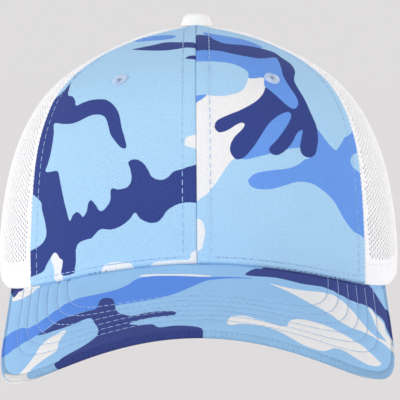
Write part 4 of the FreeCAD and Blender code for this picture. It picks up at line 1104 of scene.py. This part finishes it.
uvb = np.stack([np.broadcast_to(gs[None], (nr_, nc_)).ravel(), np.broadcast_to(run[:, None], (nr_, nc_)).ravel()], -1)
bagb = Bag()
bagb.add(V.reshape(-1, 3), q, None, uvb)
for endk, flip in ((0, False), (nr_ - 1, True)):
    # end caps as strips across the folded tape
    m_ = [(k, nc_ - 1 - k) for k in range(nc_ // 2)]
    base = ids[endk]
    order = list(range(nc_))
    half_n = 22
    outer_i = order[:half_n + 1]
    inner_i = order[half_n + 1:][::-1]
    tri = []
    i, j = 0, 0
    # outer ring 0..22 against inner ring (8.0,-.1)...(8.0,1.0)
    while i < len(outer_i) - 1 or j < len(inner_i) - 1:
        if j == len(inner_i) - 1 or (i < len(outer_i) - 1 and i / (len(outer_i) - 1) <= j / (len(inner_i) - 1)):
            tri.append((base[outer_i[i]], base[outer_i[i + 1]], base[inner_i[j]]))
            i += 1
        else:
            tri.append((base[outer_i[i]], base[inner_i[j + 1]], base[inner_i[j]]))
            j += 1
    t_ = np.array(tri)
    bagb.t.append(t_[:, ::-1] if flip else t_)
place(bagb.make("rear_arch_binding_tape"), m_bind, ["rear_arch_binding"])
for g, dpt, sg in ((8.0, -.58, 1), (1.4, -.7, 1), (8.0, 1.5, -1), (1.4, 1.6, -1)):
    x, z = arch_curve(g, 80, 400)
    th, u = back_point(x, z)
    stitches(mesh_thread if sg > 0 else tape_thread, crown(th, u, dpt), crown_n(th, u) * sg, 3.2, 2.6, .2, lift=.6, seed=int(g) + 5)
place(mesh_thread.make("mesh_and_binding_stitching"), m_white_thread)
place(tape_thread.make("inside_tape_stitching"), m_white_thread)

# ------------------------------------------------------------------ visor
FS = 1 / math.cos(math.radians(17.96))


def flat_visor(q):
    x = np.clip(q[..., 0], -RAD * .98, RAD * .98)
    return np.stack([RAD * np.arcsin(x / RAD), q[..., 1] * FS], -1)


def visor_pos(x, y, depth):
    xx = np.clip(x, -RAD * .98, RAD * .98)
    r = np.sqrt(RAD ** 2 - xx ** 2)
    n = unit(np.stack([xx / r, np.full_like(xx, -SLOPE), np.ones_like(xx)], -1))
    p = np.stack([x, y, visor_z(x, y)], -1)
    return p - n * np.asarray(depth)[..., None], n


def edge_outline(n, inset=0.0, back=1.5):
    """Free edge of the visor from the left root round the front to the right root; inset is not used."""
    t = np.linspace(0, np.pi, 2000)
    c, s = np.cos(t), np.sin(t)
    x = -np.sign(c) * VW * np.abs(c) ** (2 / VP)
    y = VY - (BF + VL + VY) * np.abs(s) ** (2 / VP)
    ths = np.linspace(.3, 1.55, 4000)
    th1 = float(np.interp(VW, plan(ths, 2.0)[0], ths))
    y0 = float(plan(np.array(th1), 2.0)[1]) + back
    side = np.linspace(y0, VY, 200, endpoint=False)
    x = np.concatenate([np.full(200, -VW), x, np.full(200, VW)])
    y = np.concatenate([side, y, side[::-1]])
    q = np.stack([x, y], -1)
    keep = np.concatenate([[True], np.linalg.norm(np.diff(q, axis=0), axis=1) > 1e-6])
    q = q[keep]
    f = flat_visor(q)
    s = np.concatenate([[0], np.cumsum(np.linalg.norm(np.diff(f, axis=0), axis=1))])
    ss = np.linspace(0, s[-1], n + 1)
    e = np.stack([np.interp(ss, s, q[:, 0]), np.interp(ss, s, q[:, 1])], -1)
    tan = unit(np.gradient(e, axis=0))
    # smooth the turning so that drawn-in points don't bunch at the corners
    for _ in range(6):
        tan[1:-1] = unit(tan[:-2] + 2 * tan[1:-1] + tan[2:])
    nrm = np.stack([-tan[:, 1], tan[:, 0]], -1)
    inward = np.where((nrm * (np.array([0, -110.0]) - e)).sum(1, keepdims=True) > 0, nrm, -nrm)
    return e, inward, ss


NE, NS = 380, 118
RHO = 1.62
E_, IN_, SS_ = edge_outline(NE)


def root_line(n, inset):
    ths = np.linspace(.3, 1.55, 4000)
    th1 = float(np.interp(VW - RHO, plan(ths, inset)[0], ths))
    th = np.linspace(-th1, th1, 1500)
    x, y = plan(th, inset)
    s = np.concatenate([[0], np.cumsum(np.hypot(np.diff(x), np.diff(y)))])
    ss = np.linspace(0, s[-1], n + 1)
    return np.stack([np.interp(ss, s, x), np.interp(ss, s, y)], -1)


def visor_rows():
    """Six rows of stitching that follow the free edge, as plan outlines."""
    rows = []
    for k in range(6):
        fr, sd, pw = 13.5 + 5.1 * k, 9.6 + 4.8 * k, 4.3 - .17 * k
        t = np.linspace(0, np.pi, 900)
        c, s = np.cos(t), np.sin(t)
        # the side distance is measured on the cloth, so it is taken along the arch
        w = RAD * math.sin(math.asin(VW / RAD) - sd / RAD)
        dep = (BF + VL + VY) - fr / FS
        x = -np.sign(c) * w * np.abs(c) ** (2 / pw)
        y = VY - dep * np.abs(s) ** (2 / pw)
        ths = np.linspace(.1, 1.5, 3000)
        yr = float(np.interp(w, plan(ths)[0], plan(ths)[1]))
        side = np.linspace(yr - .6, VY, 160, endpoint=False)
        q = np.stack([np.concatenate([np.full(160, -w), x, np.full(160, w)]), np.concatenate([side, y, side[::-1]])], -1)
        keep = np.concatenate([[True], np.linalg.norm(np.diff(q, axis=0), axis=1) > 1e-6])
        rows.append(q[keep])
    return rows


rows = visor_rows()


def near_rows(q):
    """Distance on the cloth from the nearest stitch row."""
    f = flat_visor(q).reshape(-1, 2)
    best = np.full(len(f), 1e9)
    for r in rows:
        g = flat_visor(r[::6])
        for k in range(len(g) - 1):
            a0, a1 = g[k], g[k + 1]
            d = a1 - a0
            t = np.clip(((f - a0) @ d) / (d @ d), 0, 1)
            best = np.minimum(best, ((f - a0 - t[:, None] * d) ** 2).sum(1))
    return np.sqrt(best).reshape(q.shape[:-1])


def visor_lift(q, dr, d_root):
    up = .22 * (1 - np.exp(-(dr / 1.3) ** 2)) - .22
    up = up + waves(q[..., 0], q[..., 1], .06, 16.0, 51)
    return up - .85 * np.exp(-(d_root / .9) ** 2)


def visor_sheet(inset_root, inset_edge, n, m):
    i = np.linspace(0, NE, n + 1)
    pick = lambda Z: np.stack([np.interp(i, np.arange(NE + 1), Z[:, 0]), np.interp(i, np.arange(NE + 1), Z[:, 1])], -1)
    e = pick(E_) + unit(pick(IN_)) * inset_edge
    r = root_line(n, inset_root)
    # closer points beside the root and beside the free edge
    s = np.linspace(0, 1, m + 1)
    s = s - .4 * np.sin(2 * np.pi * s) / (2 * np.pi)
    return r[:, None] * (1 - s[None, :, None]) + e[:, None] * s[None, :, None], e


def root_gap(q):
    """Distance forward of the crown's outline, in plan."""
    th = np.arctan2(q[..., 0] / A, -q[..., 1] / BF)
    x, y = plan(th)
    return np.hypot(q[..., 0], q[..., 1]) - np.hypot(x, y)


Q, e_in = visor_sheet(2.0, RHO, NE, NS)
dr = near_rows(Q)
lift = visor_lift(Q, dr, np.abs(root_gap(Q)))
run = np.linalg.norm(Q - e_in[:, None], axis=2)
# the cloth sinks at the edge of the board, just inside the turned rim
front_run = smooth01((np.abs(IN_[:, 1:2]) - .3) / .5)
lift = lift - (.08 + .26 * front_run) * np.exp(-((run - .95) / .5) ** 2)
top, ntop = visor_pos(Q[..., 0], Q[..., 1], .1 - lift)
low, _ = visor_pos(Q[..., 0], Q[..., 1], np.full(Q.shape[:2], .82))
phis = np.linspace(0, np.pi, 13)[1:]
roll_out, roll_in, roll_q = [], [], []
for ph in phis:
    ins = RHO * (1 - math.sin(ph))
    q_ = E_ + unit(IN_) * ins
    dp = .1 + RHO * (1 - math.cos(ph)) * (3.25 / (2 * RHO))
    roll_out.append(visor_pos(q_[:, 0], q_[:, 1], np.full(len(q_), dp))[0])
    ins2 = RHO - (RHO - .72) * math.sin(ph)
    q2 = E_ + unit(IN_) * ins2
    dp2 = .1 + RHO - (RHO - .72) * math.cos(ph)
    roll_in.append(visor_pos(q2[:, 0], q2[:, 1], np.full(len(q2), dp2))[0])
    roll_q.append(q_)
V_out = np.concatenate([top, np.stack(roll_out, 1)], 1)
V_in = np.concatenate([low, np.stack(roll_in, 1)], 1)
QF = flat_visor(Q)
ext = np.arange(1, len(phis) + 1)[None, :, None] * (RHO * np.pi / len(phis))
outw = -unit(IN_)[:, None] * np.array([1, 1])
QR = QF[:, -1:] + outw * ext
Qall = np.concatenate([QF, QR], 1)
F = grid_faces(V_out.shape[0], V_out.shape[1])[:, ::-1]
flatp = Qall.reshape(-1, 2)
at = ink(flatp, PRINT_VISOR, lambda q: flat_visor(q))
# rim weight: where the turned-edge ribs and the painted rim shade apply
at["rim"] = np.concatenate([1 - smooth01((run - .2) / 1.3), np.ones((run.shape[0], len(phis)))], 1).ravel()
at["along"] = np.repeat(SS_, V_out.shape[1])
ob = shell("visor_top_cloth", V_out.reshape(-1, 3), V_in.reshape(-1, 3), [F], flatp, None, at)
place(ob, m_visor, ["visor_top_cover"])

Q2, e2 = visor_sheet(2.0, RHO + .15, NE // 2, NS // 2)
dr2 = near_rows(Q2)
ed = np.linspace(0, 1, NS // 2 + 1)[None, :] * np.linalg.norm(Q2[:, -1] - Q2[:, 0], axis=1)[:, None]
fromedge = ed[:, -1:] - ed
und, nund = visor_pos(Q2[..., 0], Q2[..., 1], 3.36 - .18 * (1 - (1 - np.exp(-(dr2 / 1.3) ** 2))) - .3 * np.exp(-(fromedge / .7) ** 2) + waves(Q2[..., 0], Q2[..., 1], .05, 15.0, 61))
und_in, _ = visor_pos(Q2[..., 0], Q2[..., 1], np.full(Q2.shape[:2], 2.68))
fl2 = flat_visor(Q2).reshape(-1, 2)
turned = lambda q: flat_visor(np.stack([-q[:, 0], q[:, 1] + 12.5], -1))
at = ink(fl2, PRINT_VISOR, turned)
ob = shell("visor_under_cloth_sheet", und.reshape(-1, 3), und_in.reshape(-1, 3), [grid_faces(*Q2.shape[:2])], fl2, None, at)
place(ob, m_under, ["visor_under_cover"])

vt, vh = Bag(), Bag()
for k, r in enumerate(rows):
    lf = visor_lift(r, np.zeros(len(r)), np.full(len(r), 30.0))
    P, n_ = visor_pos(r[:, 0], r[:, 1], .1 - lf)
    hole_shade_at(vh, stitches(vt, P, n_, 3.1, 2.5, .18, lift=.5, seed=100 + k), (.32, .18))
    P, n_ = visor_pos(r[:, 0], r[:, 1], np.full(len(r), 3.2))
    stitches(vt, P, -n_, 3.1, 2.6, .2, lift=.5, seed=120 + k)
place(vt.make("visor_topstitching"), m_thread)
# painted shade: dark lenses at the visor's needle holes
place(vh.make("visor_needle_hole_shade"), m_hole_shade_pale)

# ------------------------------------------------------------------ button, eyelets


def revolve(profile, n, axis_p, axis_n, wob=None):
    """Closed turned shape from (radius, height) pairs."""
    z = Vector(axis_n).normalized()
    x = z.orthogonal().normalized()
    y = z.cross(x)
    pr = np.array(profile, float)
    ph = np.arange(n) / n * 2 * np.pi
    R_ = pr[:, 0][:, None] * np.ones(n)
    H_ = pr[:, 1][:, None] * np.ones(n)
    if wob is not None:
        R_, H_ = wob(R_, H_, ph[None])
    v = np.array(axis_p)[None, None] + (R_ * np.cos(ph))[..., None] * np.array(x) + (R_ * np.sin(ph))[..., None] * np.array(y) + H_[..., None] * np.array(z)
    ids = np.arange(len(pr) * n).reshape(len(pr), n)
    q = np.stack([ids[:-1], np.roll(ids[:-1], -1, 1), np.roll(ids[1:], -1, 1), ids[1:]], -1).reshape(-1, 4)
    arc = np.concatenate([[0], np.cumsum(np.hypot(np.diff(pr[:, 0]), np.diff(pr[:, 1])))])
    uv = np.stack([np.broadcast_to(R_ * np.cos(ph), R_.shape).ravel(), (R_ * np.sin(ph)).ravel()], -1)
    return v.reshape(-1, 3), q, uv, ids


prof = [(.02, 5.95), (.9, 5.93), (1.8, 5.87), (2.7, 5.76), (3.55, 5.58), (4.3, 5.34), (4.95, 5.0), (5.5, 4.56), (5.9, 3.98), (6.17, 3.3), (6.34, 2.6), (6.48, 1.95), (6.66, 1.4), (6.86, .95), (7.0, .55), (7.02, .2), (6.8, .02),
        (6.2, .05), (5.9, .5), (5.4, 1.4), (5.1, 2.4), (4.9, 3.3), (4.3, 4.1), (3.3, 4.6), (1.6, 4.8), (.02, 4.85)]


def folds(R_, H_, ph):
    low = smooth01((3.0 - H_) / 3.0) * (R_ > 5)
    return R_ * (1 + low * (.012 * np.sin(9 * ph) + .008 * np.sin(23 * ph + 1))), H_ + .05 * np.sin(2 * ph + .6) * (R_ > 3)


v, q, uvq, ids = revolve(prof, 96, (0, 0, TOP + .1), (0, 0, 1), folds)
bg = Bag()
bg.add(v, q, np.concatenate([np.stack([np.full(94, ids[0, 0]), ids[0, 2:], ids[0, 1:-1]], -1)[:, ::-1], np.stack([np.full(94, ids[-1, 0]), ids[-1, 2:], ids[-1, 1:-1]], -1)]), uvq)
place(bg.make("top_button_cloth"), m_button, ["top_button_cover"])

for side, s in (("right", 1), ("left", -1)):
    th_e, u_e = np.array(EYE_TH * s), np.array(EYE_U)
    n_ = crown_n(th_e, u_e)
    p_ = crown0(th_e, u_e) + n_ * -.3
    z = Vector(n_)
    x = Vector((0, 0, 1)).cross(z).normalized()
    y = z.cross(x)
    X, Y, Z = np.array(x), np.array(y), np.array(z)
    sx, sy = 3.75, 3.3
    # satin stitches laid side by side across the ring
    bag = Bag()
    rng = np.random.RandomState(7 + s)
    cnt = 44
    t = np.linspace(0, 1, 9)
    for k in range(cnt):
        ph = 2 * np.pi * (k + .35 * (rng.rand() - .5)) / cnt
        r0, r1 = .95 + .12 * rng.rand(), 1.0 + .07 * (rng.rand() - .5)
        d = np.array([math.cos(ph), math.sin(ph)])
        ex = sx * r1
        ey = sy * r1
        rr = r0 + (1.0 - 0) * t * 0
        rx = r0 + (ex - r0) * t
        ry = r0 + (ey - r0) * t
        hgt = .15 + .62 * np.sin(np.pi * np.clip(t * 1.02, 0, 1)) ** .6 - .5 * (t < .01) - .45 * (t > .99)
        cpos = p_[None] + X[None] * (rx * d[0])[:, None] + Y[None] * (ry * d[1])[:, None] + Z[None] * hgt[:, None]
        tan = unit(np.gradient(cpos, axis=0))
        side_v = unit(np.cross(tan, np.broadcast_to(Z, tan.shape)))
        upv = np.cross(side_v, tan)
        wr = .13 + .13 * t
        a_ = np.arange(6) / 6 * 2 * np.pi
        rg = cpos[:, None] + side_v[:, None] * (wr[:, None] * np.cos(a_))[..., None] + upv[:, None] * (.17 * np.sin(a_))[None, :, None]
        idx = np.arange(9 * 6).reshape(9, 6)
        q = np.stack([idx[:-1], np.roll(idx[:-1], -1, 1), np.roll(idx[1:], -1, 1), idx[1:]], -1).reshape(-1, 4)
        cap = np.concatenate([np.array([[0, j + 1, j] for j in range(1, 5)]), np.array([[48, 48 + j, 48 + j + 1] for j in range(1, 5)])])
        uvs = np.stack([np.broadcast_to((t * 3)[:, None], (9, 6)).ravel(), np.broadcast_to((a_ / 6.28)[None], (9, 6)).ravel()], -1)
        bag.add(rg.reshape(-1, 3), q, cap, uvs)
    prof_e = [(3.5, -.05), (3.2, .28), (2.6, .5), (1.9, .52), (1.3, .4), (1.0, .1), (.95, -.7), (.95, -1.5), (1.5, -1.55), (1.6, -.9), (1.7, -.3), (3.0, -.15)]
    v, q, uvq, ids = revolve(prof_e, 48, tuple(p_), tuple(n_))
    close = np.stack([ids[-1], np.roll(ids[-1], -1), np.roll(ids[0], -1), ids[0]], -1)
    bag.add(v, np.concatenate([q, close]), None, uvq)
    place(bag.make("eyelet_embroidery_" + side), m_eye_thread, ["eyelet_" + side])

# ------------------------------------------------------------------ snap straps
CY, SR, ST = 13.0, 85.0, 1.0


def wrap(arc, z, r):
    """Arc length (mm, + towards +X), height and radius about the strap's own centre line."""
    t = arc / SR
    return np.stack([r * np.sin(t), CY + r * np.cos(t), z], -1)


def strap(name, r0, a0, a1, holes_deg, hole_r, peg, mat, nodes, tip_at):
    """Moulded band from angle a0 to a1 with rounded corners at its tip, holes or pegs along it."""
    pitch = 6.0
    z_mid, hw = 10.5, 9.0
    mmdeg = SR * math.pi / 180
    lo, hi = a0 * mmdeg, a1 * mmdeg
    cells = [h * mmdeg for h in holes_deg]
    cw = pitch * mmdeg / 2
    NZ = 12
    zs = np.linspace(-hw, hw, NZ + 1)
    verts, quads, tris, d_col = [], [], [], []
    count = 0
    def addv(a, z, w):
        nonlocal count
        verts.append(np.stack([a, z], -1).reshape(-1, 2))
        d_col.append(np.broadcast_to(w, np.asarray(a).shape).ravel())
        k = count
        count += verts[-1].shape[0]
        return k
    first, last = cells[0] - cw, cells[-1] + cw
    for s0, s1 in ((lo, first), (last, hi)):
        if s1 - s0 < .2:
            continue
        n = max(2, int((s1 - s0) / .9))
        ga, gz = np.meshgrid(np.linspace(s0, s1, n + 1), zs, indexing="ij")
        k = addv(ga, gz, 0.0)
        quads.append(grid_faces(n + 1, NZ + 1) + k)
    # one rectangle round each hole, in rings from the rectangle to the hole
    rect = [(cw, z) for z in zs] + [(-a, hw) for a in np.linspace(-cw, cw, 7)[1:]] + [(-cw, z) for z in zs[::-1][1:]] + [(a, -hw) for a in np.linspace(-cw, cw, 7)[1:-1]]
    rect = np.array(rect)
    ang = np.arctan2(rect[:, 1], rect[:, 0])
    circ = np.stack([np.cos(ang), np.sin(ang)], -1)
    for c in cells:
        rings = []
        base = hole_r
        steps = [(base, 1.0), (base + .12, 1.35), (base + .5, 1.45), (base + .85, 1.2), (base + 1.05, 0.0)] if not peg else [(2.75, 0.0), (2.9, 0.0)]
        for rr, w in steps:
            rings.append(addv(c + circ[:, 0] * rr, circ[:, 1] * rr, w))
        for f in (.33, .66):
            pt = circ * steps[-1][0] * (1 - f) + rect * f
            rings.append(addv(c + pt[:, 0], pt[:, 1], 0.0))
        rings.append(addv(c + rect[:, 0], rect[:, 1], 0.0))
        m = len(rect)
        for p0, p1 in zip(rings[:-1], rings[1:]):
            j = np.arange(m)
            quads.append(np.stack([p0 + j, p0 + (j + 1) % m, p1 + (j + 1) % m, p1 + j], -1)[:, ::-1])
        if peg:
            k = addv(np.array([c]), np.array([0.0]), 0.0)
            j = np.arange(m)
            tris.append(np.stack([rings[0] + j, rings[0] + (j + 1) % m, np.full(m, k)], -1))
    P = np.concatenate(verts)
    D = np.concatenate(d_col)
    Fq = np.concatenate(quads)
    Ft = np.concatenate(tris) if tris else np.zeros((0, 3), int)
    # weld seams between blocks
    key = np.round(P * 200).astype(np.int64)
    code = key[:, 0] * 2000003 + key[:, 1]
    uq, first_i, inv = np.unique(code, return_index=True, return_inverse=True)
    inv = inv.reshape(-1)
    P, D = P[first_i], D[first_i]
    Fq, Ft = inv[Fq], inv[Ft]
    # faces wound the same way
    def signed(f):
        x, y = P[f][..., 0], P[f][..., 1]
        return (x * np.roll(y, -1, 1) - np.roll(x, -1, 1) * y).sum(1)
    Fq = np.where((signed(Fq) < 0)[:, None], Fq[:, ::-1], Fq)
    Ft = np.where((signed(Ft) < 0)[:, None], Ft[:, ::-1], Ft) if len(Ft) else Ft
    # rounded tip: squeeze the end's corners into quarter circles
    rc = 5.0
    end = hi if tip_at > 0 else lo
    x_in = (end - P[:, 0]) * tip_at
    kx = np.clip((rc - x_in) / rc, 0, 1)
    lim = hw - rc + rc * np.sqrt(np.maximum(0, 1 - kx ** 2))
    zf = P[:, 1] * np.where(kx > 0, lim / hw, 1.0)
    dist = np.minimum(np.where(kx > 0, lim, hw) - np.abs(zf), np.where(x_in < 4, x_in, 9.0))
    c = .4
    dd = np.clip(dist, 0, c)
    rnd = c - np.sqrt(np.maximum(0, c * c - (c - dd) ** 2))
    rim = .16 * bump_at(dist, 1.3, .5)
    collar = .28 * np.clip(D, 0, 1.5) / 1.45
    ro = r0 + ST - rnd * 1.0 + rim + collar * (not peg)
    ri = r0 + rnd
    outer = wrap(P[:, 0], z_mid + zf, ro)
    inner = wrap(P[:, 0], z_mid + zf, ri)
    ob = shell(name, outer, inner, [Fq[:, ::-1], Ft[:, ::-1]], np.stack([P[:, 0], zf], -1))
    if peg:
        bag = Bag()
        for h in holes_deg:
            t = math.radians(h)
            d = np.array([math.sin(t), math.cos(t), 0.0])
            base = np.array([0, CY, z_mid]) + d * (r0 + ST)
            pr = [(.02, 1.62), (.7, 1.6), (1.15, 1.5), (1.45, 1.3), (1.6, 1.05), (1.62, .8), (1.6, .55), (1.72, .3), (2.0, .1), (2.35, 0.0), (2.4, -.3), (.02, -.3)]
            v, q, uvq, ids = revolve(pr, 28, tuple(base), tuple(d))
            bag.add(v, q, None, uvq)
        pegs = bag.make(name + "_pegs")
        pegs.data.materials.append(mat)
        ob.data.materials.append(mat)
        with bpy.context.temp_override(active_object=ob, selected_editable_objects=[ob, pegs], selected_objects=[ob, pegs], object=ob):
            bpy.ops.object.join()
    place(ob, mat, nodes, body=None)
    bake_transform(ob)
    return ob


pegs_deg = [(k - 3) * 6.0 for k in range(7)]
ang_of = lambda x, r: math.degrees(math.asin(x / r))
strap("outer_snap_strap", 85.0, -ang_of(54.2, 85.0), 23.0, pegs_deg, 2.45, False, m_snap, ["snap_strap_holes", "strap_tab_left"],
      1)
strap("inner_snap_strap", 83.9, -23.0, ang_of(54.2, 83.9), pegs_deg, 2.2, True, m_snap, ["snap_strap_pegs", "strap_tab_right"],
      -1)

# ------------------------------------------------------------------ carried-over hard parts
for node, mat, slot in (("visor_board", m_board, "visor_board"), ("top_button_post", m_metal, "button_metal"), ("button_backing_washer", m_metal, "button_metal")):
    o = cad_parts[node]
    o.data.materials.clear()
    o.data.materials.append(mat)

# ------------------------------------------------------------------ floor, light, camera
FLOOR_GLOW = .178
fl = build("floor", np.array([(-60000, -60000, -450), (60000, -60000, -450), (60000, 60000, -450), (-60000, 60000, -450)], float), [np.array([[0, 1, 2, 3]])], smooth=False)
M = Mat("floor_pale")
o = M.obj()
g = M.noise(o, 1.5, 3)
M.finish(M.mix(M.mul(g, .3), lin((224, 222, 223)), lin((223.4, 221.4, 222.4))), M.add(.85, M.mul(g, .08)), spec=0.0)
M.b.inputs["Emission Color"].default_value = lin((223, 221, 222))
M.b.inputs["Emission Strength"].default_value = FLOOR_GLOW
fl.data.materials.append(M.m)
fl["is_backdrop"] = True

w = bpy.data.worlds.new("studio")
bpy.context.scene.world = w
w.use_nodes = True
bgn = w.node_tree.nodes["Background"]
bgn.inputs[1].default_value = 1.0
wt = w.node_tree
tc = wt.nodes.new("ShaderNodeTexCoord")
sep = wt.nodes.new("ShaderNodeSeparateXYZ")
wt.links.new(tc.outputs["Generated"], sep.inputs[0])
mr = wt.nodes.new("ShaderNodeMapRange")
mr.interpolation_type = "SMOOTHSTEP"
mr.inputs["From Min"].default_value, mr.inputs["From Max"].default_value = .15, .8
wt.links.new(sep.outputs[2], mr.inputs["Value"])
mx = wt.nodes.new("ShaderNodeMix")
mx.data_type = "RGBA"
mx.inputs[6].default_value = lin((223, 221, 222))
mx.inputs[7].default_value = lin((188, 186, 187))
wt.links.new(mr.outputs["Result"], mx.inputs[0])
wt.links.new(mx.outputs[2], bgn.inputs[0])


def sun(name, azimuth, elevation, strength, angle, colour=(1, 1, 1)):
    """Soft light from far away; azimuth is measured from the front (-Y) towards +X."""
    d = bpy.data.lights.new(name, "SUN")
    d.energy = strength
    d.angle = rad(angle)
    d.color = colour
    ob = bpy.data.objects.new(name, d)
    a, e = rad(azimuth), rad(elevation)
    way = Vector((math.sin(a) * math.cos(e), -math.cos(a) * math.cos(e), math.sin(e)))
    ob.location = way * 2
    ob.rotation_mode = "QUATERNION"
    ob.rotation_quaternion = (-way).to_track_quat("-Z", "Y")
    bpy.context.scene.collection.objects.link(ob)
    return ob


sun("front_left", -58, 9, 2.1, 40)
sun("front_right", 65, 9, 1.5, 40)
sun("rear", 170, 32, .35, 40)

cam = bpy.data.cameras.new("camera")
cam.sensor_width = 36.0
cam.lens = 279.76
cam.clip_start, cam.clip_end = .05, 100.0
co = bpy.data.objects.new("camera", cam)
bpy.context.scene.collection.objects.link(co)
pos = Vector((.009024, -1.399058, .096836))
aim = Vector((.000861, 0, .033196))
co.location = pos
co.rotation_mode = "QUATERNION"
co.rotation_quaternion = (aim - pos).to_track_quat("-Z", "Y") @ Quaternion((0, 0, 1), math.radians(-.5135))
bpy.context.scene.camera = co
bpy.context.scene.view_settings.view_transform = "Standard"
bpy.context.scene.view_settings.look = "None"

bpy.context.view_layer.update()
lo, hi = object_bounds()
